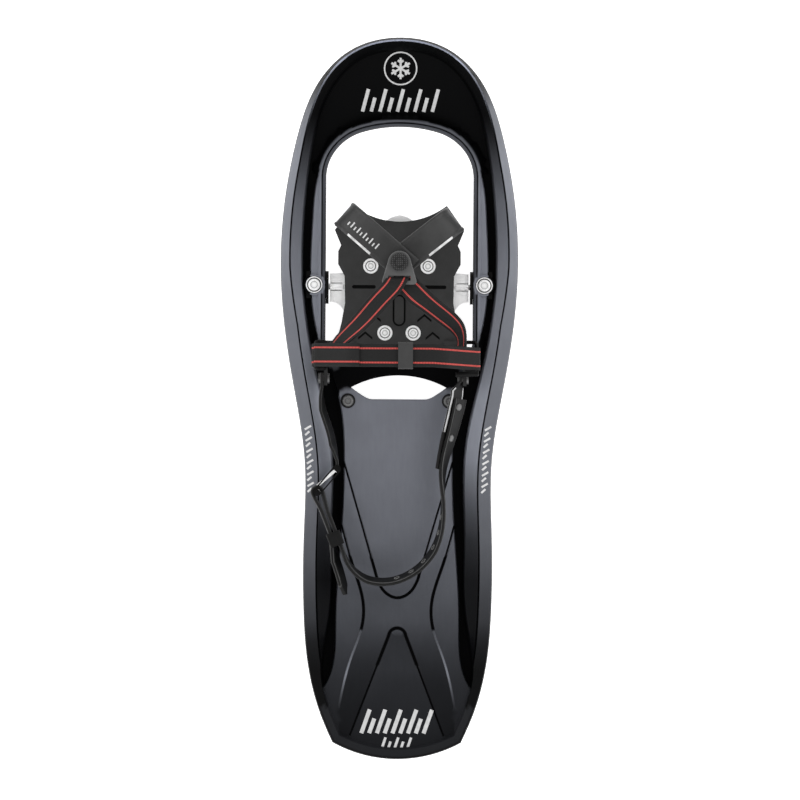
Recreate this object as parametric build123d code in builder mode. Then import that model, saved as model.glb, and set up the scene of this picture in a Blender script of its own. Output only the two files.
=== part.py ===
from build123d import *
import math
import os

os.makedirs("parts", exist_ok=True)

# A moulded snowshoe with a pivoting strap binding. Millimetres.
# +X is the wearer's right, +Y points to the toe, +Z is up. The origin is on the centreline at
# mid length, on the ground plane that the traction teeth stand on.

# ---- Deck -------------------------------------------------------------------------------------
HALF_LENGTH = 305.0
HALF_WIDTH = 100.5
NOSE_START = 120.0
NOSE_RISE = 45.0
TAIL_START = -190.0
TAIL_RISE = 12.0
TAIL_SAG = 14.0
INNER_SAG = 12.0
DECK_BOTTOM = 16.0
FLOOR_BOTTOM = 24.0
FLOOR_TOP = 28.0
PANEL_TOP = 36.0
RIM_TOP = 38.0
RAIL_TOP = 42.0
WALL = 3.0
PANEL_SKIN = 4.0
RIM_WIDTH = 7.0
RIM_BACK = 32.0
SOLID_TAIL = 100.0
GROOVE_WIDTH = 3.0
GROOVE_DEPTH = 1.2
TALL = 130.0

# ---- Binding pivot ----------------------------------------------------------------------------
PIVOT_Y = 93.8
PIVOT_Z = 30.0
ROD_RADIUS = 2.5
ROD_HALF = 69.0
RUNNING_GAP = 0.05
BLOCK_INNER = 60.0
BLOCK_OUTER = 79.0
BLOCK_BACK = 84.0
BLOCK_FRONT = 107.0
BLOCK_RIVET_X = 72.3
BLOCK_RIVET_Y = 95.4
BLOCK_PLAY = 0.2
BLOCK_LIP = 2.4
BLOCK_LIP_LENGTH = 27.0
BOSS_RADIUS = 9.5

# ---- Rivets, screws and washers ---------------------------------------------------------------
SHANK_RADIUS = 2.5
SET_TAIL = 1.5
WASHER = 1.0
PIVOT_HEAD = (5.2, 2.2)
PIVOT_TAIL = 4.0
PIVOT_WASHER = 7.0
HEEL_HEAD = (4.6, 1.8)
HEEL_TAIL = 3.2
HEEL_WASHER = 6.2
PLATFORM_HEAD = (3.9, 1.6)
PLATFORM_TAIL = 3.6
PLATFORM_WASHER = 6.4
SCREW_RADIUS = 1.8
SCREW_HEAD = 2.9
SCREW_HEAD_HEIGHT = 2.2
SCREW_DEPTH = 27.0
SCREW_SOCKET = 1.6
SOCKET_DEPTH = 1.2

# ---- Traction ---------------------------------------------------------------------------------
BLADE_HEIGHT = 22.0
BLADE_THICKNESS = 2.0
FLANGE_WIDTH = 11.0
BLADE_OFFSET = 3.8
TOOTH_PITCH = 19.0
TOOTH_TIP = 4.0
TOOTH_DEPTH = 11.0
RAIL_LINE = ((73, 62), (67.6, 32), (59, 0), (51.3, -50), (51.2, -105), (50.8, -160))
SCREW_PLACES = ((69.9, 47), (57.6, -3), (50.6, -58), (50.4, -135))
HEEL_RIVET = (43.0, -3.0)
CLAW_TIP = 2.0
HEEL_BLADE_Y = -30.0
HEEL_BLADE_WIDTH = 85.0
HEEL_SIDE_X = 41.5
HEEL_SIDE_LENGTH = 22.0
HEEL_CLAW_PITCH = 22.0
HEEL_CLAW_DEPTH = 14.0

# ---- Toe crampon and binding platform ---------------------------------------------------------
CRAMPON_BOTTOM = 32.5
SHEET = 2.0
EAR_REACH = 58.8
EAR_ROOT = 48.0
EAR_MIDDLE = (EAR_ROOT + EAR_REACH) / 2
EAR_LINE = 3.1
EAR_LINE_WIDTH = 0.9
SLEEVE_WALL = 2.7
INNER_SLEEVE_WALL = 1.9
INNER_SLEEVE_LENGTH = 14.0
SIDE_CLAW_X = 39.0
SIDE_CLAW_LENGTH = 84.0
SIDE_CLAW_PITCH = 20.0
SIDE_CLAW_DEPTH = 16.0
FRONT_CLAW_Y = 150.0
FRONT_CLAW_WIDTH = 22.0
FRONT_CLAW_DEPTH = 14.0
PLATFORM_BOTTOM = CRAMPON_BOTTOM + SHEET
PLATFORM_TOP = 39.5
FRONT_RIVET = (24.3, 111.5)
REAR_RIVET = (12.0, 54.8)
MARK_DEPTH = 1.5
CHEVRON_PLACES = ((21.5, 69), (28.6, 54))
SLOT_X = 30.0
SLOT_LENGTH = 20.0
SLOT_WIDTH = 3.0
RIB_Y = 74.0
RIB_LENGTH = 24.0
RIB_WIDTH = 8.0
RIB_HEIGHT = 1.2
RIB_GROOVE = 1.4

# ---- Harness ----------------------------------------------------------------------------------
CAP_Y = 114.5
WING_THICKNESS = 3.0
WING_WIDTH = 25.0
WING_CROWN = 98.0
WING_LIFT = 3.3
WING_REACH = 59.8
WING_DIRECTION = (0.746, 0.667)
WING_BACK = -11.0
WING_FLAT = 15.0
BUCKLE_BOTTOM = 103.0
BUCKLE_SHEET = 2.5
BUCKLE_HEAD = 9.6
BUCKLE_FOOT = (12.0, 98.2)
BUCKLE_CORNER = 2.6
BUCKLE_SLOT_Y = 100.9
BUCKLE_SLOT = (19.0, 4.2)
WEB_THICKNESS = 1.6
WEB_WIDTH = 19.5
INSTEP_Y = 35.5
INSTEP_TOP = 95.0
INSTEP_FLAT = 38.0
SLIDER_X = 5.7
SLIDER_SIZE = (22.8, 5.6)
SLIDER_HALF = 6.3
SLIDER_PLAY = 0.6
TURN_PLAY = 0.2
WEB_RETURN = 9.0
CAP_RADIUS = 7.6
CAP_SHANK = 3.0
CAP_HEIGHT = 4.0
CAP_FOOT = 5.5
CAP_FOOT_HEIGHT = 2.0
KNURLS = 20
KNURL_RADIUS = 0.6
CAP_RING = (4.6, 3.2)
CAP_RING_DEPTH = 0.8
RING_WIRE = 1.6
RING_HALF = 11.6
RING_Z = 66.0
RING_LEFT_X = -70.5
RING_RIGHT_X = 65.7
RING_CORNER = 2.4
HEM_Z = 58.0
HEM_WALL = 2.0
HEM_HALF = 7.0
ARM_BOTTOM = 38.5
ARM_Y = 29.0
ARM_LENGTH = 38.0
ARM_FOOT_Y = 43.0
ARM_FOOT_LENGTH = 10.0
ARM_FOOT_HEIGHT = 4.0
ARM_FOOT_X = 38.0

# ---- Heel strap -------------------------------------------------------------------------------
STRAP_BOTTOM = 45.0
STRAP_WIDTH = 15.0
STRAP_THICKNESS = 3.0
TAB_THICKNESS = 2.5
STRAP_MIDDLE = STRAP_BOTTOM + STRAP_WIDTH / 2
SWING_Y = 16.0
TAB_FRONT = 20.6
ARM_LEFT_X = -62.0
ARM_RIGHT_X = 56.0
ARM_THICKNESS = 3.0
TAB_INSET = 3.2
TAB_BEND = 8.0
SWING_HEAD = 4.4
SWING_HEAD_HEIGHT = 1.6
SWING_PLAY = 0.1
FRAME_FRONT = (-52.0, -61.0)
FRAME_ROLLER = (-68.5, -80.5)
ROLLER_RADIUS = 2.4
ROLLER_BAR = 1.3
FRAME_SHEET = 2.0
FRAME_WIDTH = 7.0
FRAME_WINDOW = 4.6
FRAME_GAP = 0.4
FRAME_EYE = 2.0
LAYER_GAP = 4.8
LEG_LENGTH = 38.0
LAP_PLAY = 0.3
STRAP_HOLES = 8
HOLE_RADIUS = 1.7
HOLES_FROM = 0.28
HOLES_STEP = 0.06
TONGUE_HALF = 1.2
TONGUE_EYE = 1.4
TONGUE_SLOT = 4.4
TONGUE_ROOM = 4.2
TAB_RIVETS = (0.34, 0.66)
TAB_SHANK = 2.0
TAB_BORE = 2.05
TAB_HEAD = 3.6
TAB_HEAD_HEIGHT = 1.4
KEEPER_AT = 24.0
KEEPER_HALF = 6.0
KEEPER_PLAY = 0.6
KEEPER_WALL = 2.0
LAP = (0.25, 0.45, 0.7, 1.0)


def finish(piece, name):
    """Label a piece and write it."""
    piece.part.label = name
    export_step(piece.part, f"parts/{name}.step")


def both_sides(*points):
    """The given plan points and their mirror images."""
    return [(side * x, y) for x, y in points for side in (1, -1)]


def rocker_rise(y):
    """Height that the deck has climbed at a place along its length."""
    if y > NOSE_START:
        run = y - NOSE_START
        reach = HALF_LENGTH - NOSE_START
        radius = (reach**2 + NOSE_RISE**2) / (2 * NOSE_RISE)
    elif y < TAIL_START:
        run = TAIL_START - y
        reach = HALF_LENGTH + TAIL_START
        radius = (reach**2 + TAIL_RISE**2) / (2 * TAIL_RISE)
    else:
        return 0.0
    return radius - math.sqrt(radius**2 - run**2)


def level_line(height):
    """The deck's side-view line at a height: straight underfoot, curving up at nose and tail."""
    end = HALF_LENGTH + 12
    TangentArc((TAIL_START, height), (-end, height + rocker_rise(-end)), tangent=(-1, 0))
    Line((TAIL_START, height), (NOSE_START, height))
    TangentArc((NOSE_START, height), (end, height + rocker_rise(end)), tangent=(1, 0))
    return (-end, height + rocker_rise(-end)), (end, height + rocker_rise(end))


def curved_plate(region, low, high):
    """A plan region as a plate that follows the deck's rocker between two heights."""
    with BuildPart() as plate:
        with BuildSketch(Plane.YZ):
            with BuildLine():
                low_tail, low_nose = level_line(low)
                high_tail, high_nose = level_line(high)
                Line(low_tail, high_tail)
                Line(low_nose, high_nose)
            make_face()
        extrude(amount=HALF_WIDTH + 20, both=True)
        extrude(region, amount=TALL, mode=Mode.INTERSECT)
    return plate.part


def beside(curve, distance, count=40):
    """Points at a distance to the left of a curve, for a spline that runs alongside it."""
    points = []
    for step in range(count + 1):
        heading = curve % (step / count)
        points.append(curve @ (step / count) + Vector(-heading.Y, heading.X) * distance)
    return points


def deck_face(right_side, tail_depth, inset=0.0):
    """Face inside one spline from tail corner round the nose to tail corner, closed by an arc."""
    left_side = [(-x, y) for x, y in reversed(right_side) if x > 0]
    with BuildSketch() as sketch:
        with BuildLine():
            around = Spline(*right_side, *left_side, mode=Mode.ADD if inset == 0 else Mode.PRIVATE)
            if inset != 0:
                around = Spline(*beside(around, inset))
            tail_y = right_side[0][1] - tail_depth + inset
            ThreePointArc(around @ 1, (0, tail_y), around @ 0)
        make_face()
    return sketch.sketch


# ---- Plan regions of the deck -----------------------------------------------------------------
OUTLINE_SIDE = (
    (54.5, -293), (63, -274), (76.4, -223), (79.8, -180), (80, -120), (79.5, -55),
    (90.4, 15), (100.4, 95), (97.6, 168), (88.2, 218), (68.3, 269), (41, 295), (0, 305),
)
RAIL_INNER_SIDE = (
    (49, -287), (57, -268), (65, -232), (58.8, -185), (57.6, -115), (58, -45),
    (72.5, 25), (83, 95), (82.5, 155), (76, 212), (61, 260), (36, 287), (0, 296),
)
PLATEAU_SIDE = (
    (5, 236), (22, 235.2), (42, 229.5), (57, 215), (66, 200), (71.5, 182), (74.5, 150), (76, 115),
    (69, 50), (51.5, 0), (46.5, -53), (48.3, -110), (53, -189), (59.5, -240), (76, -262),
)
outline = deck_face(OUTLINE_SIDE, TAIL_SAG)
rail_inner = deck_face(RAIL_INNER_SIDE, INNER_SAG)


def plateau_face(inset=0.0):
    """The raised middle of the deck before the rails trim it, optionally inset all round."""
    with BuildSketch() as sketch:
        with BuildLine():
            side = Spline(*PLATEAU_SIDE, mode=Mode.ADD if inset == 0 else Mode.PRIVATE)
            if inset != 0:
                side = Spline(*beside(side, -inset))
            Line((0, (side @ 0).Y), side @ 0)
            edge = Line(side @ 1, ((side @ 1).X, -315))
            Line(edge @ 1, (0, -315))
            mirror(about=Plane.YZ)
        make_face()
    return sketch.sketch


with BuildSketch() as plateau_sketch:
    add(plateau_face())
    with Locations(*both_sides((BLOCK_RIVET_X, BLOCK_RIVET_Y))):
        Circle(BOSS_RADIUS)
    add(rail_inner, mode=Mode.INTERSECT)
plateau = plateau_sketch.sketch

with BuildSketch() as toe_opening_sketch:
    with BuildLine():
        top = TangentArc((0, 229.6), (32, 225), tangent=(1, 0))
        shoulder = TangentArc(top @ 1, (54.2, 210), tangent=top % 1)
        lower_shoulder = TangentArc(shoulder @ 1, (62.5, 187), tangent=shoulder % 1)
        side = Line(lower_shoulder @ 1, (62.5, 48))
        corner = TangentArc(side @ 1, (44.5, 30), tangent=(0, -1))
        Line(corner @ 1, (0, 30))
        mirror(about=Plane.YZ)
    make_face()
toe_opening = toe_opening_sketch.sketch

with BuildSketch() as lens_sketch:
    with BuildLine():
        ThreePointArc((-40.4, 8.5), (0, 18.7), (40.4, 8.5))
        Polyline((40.4, 8.5), (31.5, 2), (22, -1.5), (-22, -1.5), (-31.5, 2), (-40.4, 8.5))
    make_face()
lens_opening = lens_sketch.sketch

with BuildSketch() as rail_sketch:
    add(outline)
    add(rail_inner, mode=Mode.SUBTRACT)
rail_region = rail_sketch.sketch

with BuildSketch() as hollow_sketch:
    add(deck_face(OUTLINE_SIDE, TAIL_SAG, inset=WALL))
    add(deck_face(RAIL_INNER_SIDE, INNER_SAG, inset=-WALL), mode=Mode.SUBTRACT)
    with Locations((0, -HALF_LENGTH)):
        Rectangle(2.4 * HALF_WIDTH, 2 * SOLID_TAIL, mode=Mode.SUBTRACT)
rail_hollow = hollow_sketch.sketch

with BuildSketch() as rim_sketch:
    offset(toe_opening, amount=RIM_WIDTH)
    with Locations(*both_sides((BLOCK_RIVET_X, BLOCK_RIVET_Y))):
        Circle(BOSS_RADIUS)
    with Locations((0, 0)):
        Rectangle(2 * HALF_WIDTH, 2 * RIM_BACK, mode=Mode.SUBTRACT)
rim_region = rim_sketch.sketch

with BuildSketch() as pocket_sketch:
    add(plateau_face(inset=WALL))
    add(deck_face(RAIL_INNER_SIDE, INNER_SAG, inset=WALL), mode=Mode.INTERSECT)
    offset(toe_opening, amount=WALL, mode=Mode.SUBTRACT)
    offset(lens_opening, amount=WALL, mode=Mode.SUBTRACT)
pocket_region = pocket_sketch.sketch


def groove(*points, width=GROOVE_WIDTH):
    """Plan region of one moulded line on the panel, drawn on both sides."""
    with BuildSketch() as line_sketch:
        with BuildLine():
            if len(points) > 3:
                Spline(*points)
            else:
                Polyline(*points)
        trace(line_width=width)
        mirror(about=Plane.YZ)
    return line_sketch.sketch


panel_v = groove((46, -55), (17, -155), (9, -168.5))
hourglass = groove((47.6, -109), (38, -143), (29, -175), (29.5, -192), (39, -221), (49, -262))
tail_v = groove((3, -194.7), (39.7, -287), width=2.5)

with BuildPart() as deck:
    add(curved_plate(rail_region, DECK_BOTTOM, RAIL_TOP))
    add(curved_plate(rail_hollow, 0, RAIL_TOP - WALL), mode=Mode.SUBTRACT)
    add(curved_plate(rail_inner, FLOOR_BOTTOM, FLOOR_TOP))
    add(curved_plate(plateau, FLOOR_BOTTOM, PANEL_TOP))
    add(curved_plate(rim_region, FLOOR_TOP, RIM_TOP))
    add(curved_plate(pocket_region, 0, PANEL_TOP - PANEL_SKIN), mode=Mode.SUBTRACT)
    for opening in (toe_opening, lens_opening):
        extrude(opening, amount=TALL, mode=Mode.SUBTRACT)
    for line_region in (panel_v, hourglass, tail_v):
        add(curved_plate(line_region, PANEL_TOP - GROOVE_DEPTH, RIM_TOP), mode=Mode.SUBTRACT)
    # recesses under the rim for the pivot blocks
    with BuildSketch():
        with Locations(*both_sides(((BLOCK_INNER + BLOCK_OUTER) / 2 - 1, (BLOCK_BACK + BLOCK_FRONT) / 2))):
            Rectangle(BLOCK_OUTER - BLOCK_INNER + 2 + BLOCK_PLAY, BLOCK_FRONT - BLOCK_BACK + BLOCK_PLAY)
    extrude(amount=RIM_TOP - PANEL_SKIN, mode=Mode.SUBTRACT)
    # holes for the pivot rivets, the heel crampon's rivets and the rail screws
    with BuildSketch():
        with Locations(*both_sides((BLOCK_RIVET_X, BLOCK_RIVET_Y), HEEL_RIVET)):
            Circle(SHANK_RADIUS + RUNNING_GAP)
    extrude(amount=TALL, mode=Mode.SUBTRACT)
    with BuildSketch():
        with Locations(*both_sides(*SCREW_PLACES)):
            Circle(SCREW_RADIUS + RUNNING_GAP)
    extrude(amount=SCREW_DEPTH, mode=Mode.SUBTRACT)

finish(deck, "deck")


# ---- Fasteners --------------------------------------------------------------------------------
def rivets(points, seat, under, head, tail_radius):
    """Domed rivets with vertical shanks: a head above the seat and a set tail under the stack."""
    head_radius, head_height = head
    with BuildPart() as rivet:
        with BuildSketch(Plane.XY.offset(under - SET_TAIL)):
            Circle(tail_radius)
        extrude(amount=SET_TAIL)
        with BuildSketch(Plane.XY.offset(under)):
            Circle(SHANK_RADIUS)
        extrude(amount=seat - under)
        with BuildSketch(Plane.XY.offset(seat)):
            Circle(head_radius)
        extrude(amount=head_height)
        fillet(rivet.faces().sort_by(Axis.Z)[-1].edges(), radius=head_height * 0.85)
    with BuildPart() as group:
        with Locations(*[(x, y, 0) for x, y in points]):
            add(rivet.part)
    return group


def washers(points, seat, outer):
    """Flat washers around the rivet shanks."""
    with BuildPart() as group:
        with BuildSketch(Plane.XY.offset(seat)):
            with Locations(*points):
                Circle(outer)
                Circle(SHANK_RADIUS + RUNNING_GAP, mode=Mode.SUBTRACT)
        extrude(amount=WASHER)
        chamfer(group.faces().sort_by(Axis.Z)[-1].edges(), length=0.3)
    return group


pivot_places = both_sides((BLOCK_RIVET_X, BLOCK_RIVET_Y))
pivot_rivets = rivets(pivot_places, RIM_TOP + WASHER, FLOOR_BOTTOM, PIVOT_HEAD, PIVOT_TAIL)
finish(pivot_rivets, "pivot_rivets")
pivot_washers = washers(pivot_places, RIM_TOP, PIVOT_WASHER)
finish(pivot_washers, "pivot_washers")

heel_flange_bottom = PANEL_TOP - PANEL_SKIN - SHEET
heel_places = both_sides(HEEL_RIVET)
heel_rivets = rivets(heel_places, PANEL_TOP + WASHER, heel_flange_bottom, HEEL_HEAD, HEEL_TAIL)
finish(heel_rivets, "heel_crampon_rivets")
heel_washers = washers(heel_places, PANEL_TOP, HEEL_WASHER)
finish(heel_washers, "heel_crampon_washers")

platform_places = both_sides(FRONT_RIVET, REAR_RIVET)
platform_rivets = rivets(
    platform_places, PLATFORM_TOP + WASHER, CRAMPON_BOTTOM, PLATFORM_HEAD, PLATFORM_TAIL
)
finish(platform_rivets, "platform_rivets")
platform_washers = washers(platform_places, PLATFORM_TOP, PLATFORM_WASHER)
finish(platform_washers, "platform_washers")


# ---- Traction rails ---------------------------------------------------------------------------
def tooth_notches(plane, first, last, pitch, tip, depth, base=0.0):
    """V-shaped notches that leave a row of flat-tipped teeth, seen on the given plane."""
    with BuildSketch(plane) as notches:
        for step in range(int((last - first) // pitch)):
            start = first + tip + step * pitch
            end = start + pitch - tip
            with BuildLine():
                Polyline((start, base), (end, base), ((start + end) / 2, base + depth), close=True)
            make_face()
    return notches.sketch


with BuildPart() as traction_rail_right:
    with BuildSketch(Plane.XY.offset(BLADE_HEIGHT)):
        with BuildLine():
            Spline(*RAIL_LINE)
        trace(line_width=FLANGE_WIDTH)
        with Locations(*SCREW_PLACES):
            Circle(SCREW_RADIUS + RUNNING_GAP, mode=Mode.SUBTRACT)
    extrude(amount=FLOOR_BOTTOM - BLADE_HEIGHT)
    with BuildSketch():
        with BuildLine():
            Spline(*[(x + BLADE_OFFSET, y) for x, y in RAIL_LINE])
        trace(line_width=BLADE_THICKNESS)
    extrude(amount=FLOOR_BOTTOM)
    notches = tooth_notches(
        Plane.YZ, RAIL_LINE[-1][1], RAIL_LINE[0][1], TOOTH_PITCH, TOOTH_TIP, TOOTH_DEPTH
    )
    extrude(notches, amount=HALF_WIDTH, both=True, mode=Mode.SUBTRACT)
finish(traction_rail_right, "traction_rail_right")

with BuildPart() as traction_rail_left:
    mirror(traction_rail_right.part, about=Plane.YZ)
finish(traction_rail_left, "traction_rail_left")

with BuildPart() as rail_screws:
    with BuildSketch(Plane.XY.offset(BLADE_HEIGHT)):
        with Locations(*both_sides(*SCREW_PLACES)):
            Circle(SCREW_HEAD)
    extrude(amount=-SCREW_HEAD_HEIGHT)
    chamfer(rail_screws.faces().group_by(Axis.Z)[0].edges(), length=0.7)
    with BuildSketch(Plane.XY.offset(BLADE_HEIGHT - SCREW_HEAD_HEIGHT)):
        with Locations(*both_sides(*SCREW_PLACES)):
            RegularPolygon(SCREW_SOCKET, 6)
    extrude(amount=SOCKET_DEPTH, mode=Mode.SUBTRACT)
    with BuildSketch(Plane.XY.offset(BLADE_HEIGHT)):
        with Locations(*both_sides(*SCREW_PLACES)):
            Circle(SCREW_RADIUS)
    extrude(amount=SCREW_DEPTH - BLADE_HEIGHT - BLOCK_PLAY)
finish(rail_screws, "rail_screws")

# ---- Heel crampon -----------------------------------------------------------------------------
with BuildPart() as heel_crampon:
    with BuildSketch(Plane.XY.offset(heel_flange_bottom)):
        with BuildLine():
            Polyline((0, -6.5), (28, -6.5), (38, 1), (45.5, 1), (44.2, -8), (42.5, HEEL_BLADE_Y),
                     (0, HEEL_BLADE_Y))
            mirror(about=Plane.YZ)
        make_face()
        with Locations(*both_sides(HEEL_RIVET)):
            Circle(SHANK_RADIUS + RUNNING_GAP, mode=Mode.SUBTRACT)
    extrude(amount=SHEET)
    with BuildSketch(Plane.XY.offset(CLAW_TIP)):
        with Locations((0, HEEL_BLADE_Y - SHEET / 2)):
            Rectangle(HEEL_BLADE_WIDTH, SHEET)
        with Locations(*both_sides((HEEL_SIDE_X, HEEL_BLADE_Y - 1 + HEEL_SIDE_LENGTH / 2))):
            Rectangle(SHEET, HEEL_SIDE_LENGTH)
    extrude(amount=PANEL_TOP - PANEL_SKIN - CLAW_TIP)
    notches = tooth_notches(
        Plane.XZ, -2 * HEEL_CLAW_PITCH, 2.1 * HEEL_CLAW_PITCH, HEEL_CLAW_PITCH, TOOTH_TIP,
        HEEL_CLAW_DEPTH, base=CLAW_TIP
    )
    extrude(notches, amount=HALF_WIDTH, both=True, mode=Mode.SUBTRACT)
finish(heel_crampon, "heel_crampon")


# ---- Pivot ------------------------------------------------------------------------------------
with BuildPart() as pivot_block_right:
    with BuildSketch(Plane.XY.offset(FLOOR_BOTTOM)):
        with Locations(((BLOCK_INNER + BLOCK_OUTER) / 2, (BLOCK_BACK + BLOCK_FRONT) / 2)):
            Rectangle(BLOCK_OUTER - BLOCK_INNER, BLOCK_FRONT - BLOCK_BACK)
    extrude(amount=RIM_TOP - PANEL_SKIN - FLOOR_BOTTOM)
    with BuildSketch(Plane.XY.offset(FLOOR_BOTTOM)):
        with Locations((BLOCK_INNER + BLOCK_LIP / 2, PIVOT_Y - 1)):
            Rectangle(BLOCK_LIP, BLOCK_LIP_LENGTH)
    extrude(amount=RIM_TOP - FLOOR_BOTTOM)
    fillet(pivot_block_right.edges().filter_by(Axis.X).group_by(Axis.Z)[-1], radius=3)
    with BuildSketch(Plane.XY.offset(FLOOR_BOTTOM)):
        with Locations((BLOCK_RIVET_X, BLOCK_RIVET_Y)):
            Circle(SHANK_RADIUS + RUNNING_GAP)
    extrude(amount=TALL, mode=Mode.SUBTRACT)
    with BuildSketch(Plane.YZ.offset(BLOCK_INNER)):
        with Locations((PIVOT_Y, PIVOT_Z)):
            Circle(ROD_RADIUS + RUNNING_GAP)
    extrude(amount=ROD_HALF - BLOCK_INNER + BLOCK_PLAY, mode=Mode.SUBTRACT)
finish(pivot_block_right, "pivot_block_right")

with BuildPart() as pivot_block_left:
    mirror(pivot_block_right.part, about=Plane.YZ)
finish(pivot_block_left, "pivot_block_left")

with BuildPart() as pivot_rod:
    with BuildSketch(Plane.YZ):
        with Locations((PIVOT_Y, PIVOT_Z)):
            Circle(ROD_RADIUS)
    extrude(amount=ROD_HALF, both=True)
    chamfer(pivot_rod.edges().filter_by(GeomType.CIRCLE), length=0.5)
finish(pivot_rod, "pivot_rod")

# ---- Toe crampon ------------------------------------------------------------------------------
with BuildPart() as toe_crampon:
    with BuildSketch(Plane.XY.offset(CRAMPON_BOTTOM)):
        with BuildLine():
            Polyline((0, 155), (6, 153.5), (12, 150), (30, 141), (42, 126), (44, 106), (EAR_REACH, 105),
                     (EAR_REACH, 81))
            ThreePointArc((EAR_REACH, 81), (50.5, 78), (47, 72.5))
            Polyline((47, 72.5), (44, 60), (44, 46), (0, 46))
            mirror(about=Plane.YZ)
        make_face()
    extrude(amount=SHEET)
    with BuildSketch(Plane.XY.offset(CLAW_TIP)):
        with Locations(*both_sides((SIDE_CLAW_X, 50 + SIDE_CLAW_LENGTH / 2))):
            Rectangle(SHEET, SIDE_CLAW_LENGTH)
        with Locations((0, FRONT_CLAW_Y)):
            Rectangle(FRONT_CLAW_WIDTH, SHEET)
    extrude(amount=CRAMPON_BOTTOM - CLAW_TIP)
    notches = tooth_notches(
        Plane.YZ, 50, 146, SIDE_CLAW_PITCH, TOOTH_TIP + 1, SIDE_CLAW_DEPTH, base=CLAW_TIP
    )
    extrude(notches, amount=HALF_WIDTH, both=True, mode=Mode.SUBTRACT)
    with BuildSketch(Plane.XZ.offset(-FRONT_CLAW_Y)):
        with BuildLine():
            Polyline((-8, CLAW_TIP), (8, CLAW_TIP), (0, CLAW_TIP + FRONT_CLAW_DEPTH), close=True)
        make_face()
    extrude(amount=2 * SHEET, both=True, mode=Mode.SUBTRACT)
    for side in (1, -1):
        with BuildSketch(Plane.YZ.offset(side * EAR_REACH)):
            with Locations((PIVOT_Y, PIVOT_Z)):
                Circle(ROD_RADIUS + SLEEVE_WALL)
        extrude(amount=-side * (EAR_REACH - EAR_ROOT + 0.5))
        with BuildSketch(Plane.YZ.offset(side * EAR_ROOT)):
            with Locations((PIVOT_Y, PIVOT_Z)):
                Circle(ROD_RADIUS + INNER_SLEEVE_WALL)
        extrude(amount=-side * INNER_SLEEVE_LENGTH)
    # folded lines in each ear, either side of the rod
    with BuildSketch(Plane.XY.offset(CRAMPON_BOTTOM + 0.6)):
        with Locations(*both_sides((EAR_MIDDLE, PIVOT_Y + EAR_LINE), (EAR_MIDDLE, PIVOT_Y - EAR_LINE))):
            Rectangle(EAR_REACH - EAR_ROOT - EAR_LINE_WIDTH, EAR_LINE_WIDTH)
    extrude(amount=SLEEVE_WALL, mode=Mode.SUBTRACT)
    with BuildSketch(Plane.XY.offset(CRAMPON_BOTTOM)):
        with Locations(*both_sides(FRONT_RIVET, REAR_RIVET)):
            Circle(SHANK_RADIUS + RUNNING_GAP)
    extrude(amount=SHEET, mode=Mode.SUBTRACT)
    with BuildSketch(Plane.YZ):
        with Locations((PIVOT_Y, PIVOT_Z)):
            Circle(ROD_RADIUS)
    extrude(amount=HALF_WIDTH, both=True, mode=Mode.SUBTRACT)
finish(toe_crampon, "toe_crampon")


# ---- Binding platform -------------------------------------------------------------------------
def arm(plate_x, foot_x):
    """Upright side arm: a foot on the platform, a plate along the side and a hem for the ring."""
    side = math.copysign(1, plate_x)
    with BuildPart() as upright:
        with BuildSketch(Plane.XY.offset(ARM_BOTTOM)):
            with Locations(((plate_x + side * ARM_THICKNESS / 2 + foot_x) / 2, ARM_FOOT_Y)):
                Rectangle(abs(plate_x - foot_x) + ARM_THICKNESS / 2, ARM_FOOT_LENGTH)
        extrude(amount=ARM_FOOT_HEIGHT)
        with BuildSketch(Plane.YZ.offset(plate_x)):
            with Locations((ARM_Y, (ARM_BOTTOM + HEM_Z - 2) / 2)):
                Rectangle(ARM_LENGTH, HEM_Z - 2 - ARM_BOTTOM)
        extrude(amount=ARM_THICKNESS / 2, both=True)
        with BuildSketch(Plane.XZ.offset(-INSTEP_Y)):
            with Locations((plate_x, HEM_Z)):
                Circle(RING_WIRE + HEM_WALL)
        extrude(amount=HEM_HALF, both=True)
        with BuildSketch(Plane.XZ.offset(-INSTEP_Y)):
            with Locations((plate_x, HEM_Z)):
                Circle(RING_WIRE + RUNNING_GAP)
        extrude(amount=ARM_LENGTH, both=True, mode=Mode.SUBTRACT)
        with BuildSketch(Plane.YZ.offset(plate_x)):
            with Locations((SWING_Y, STRAP_MIDDLE)):
                Circle(SHANK_RADIUS + RUNNING_GAP)
        extrude(amount=2 * ARM_THICKNESS, both=True, mode=Mode.SUBTRACT)
    return upright.part


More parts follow.
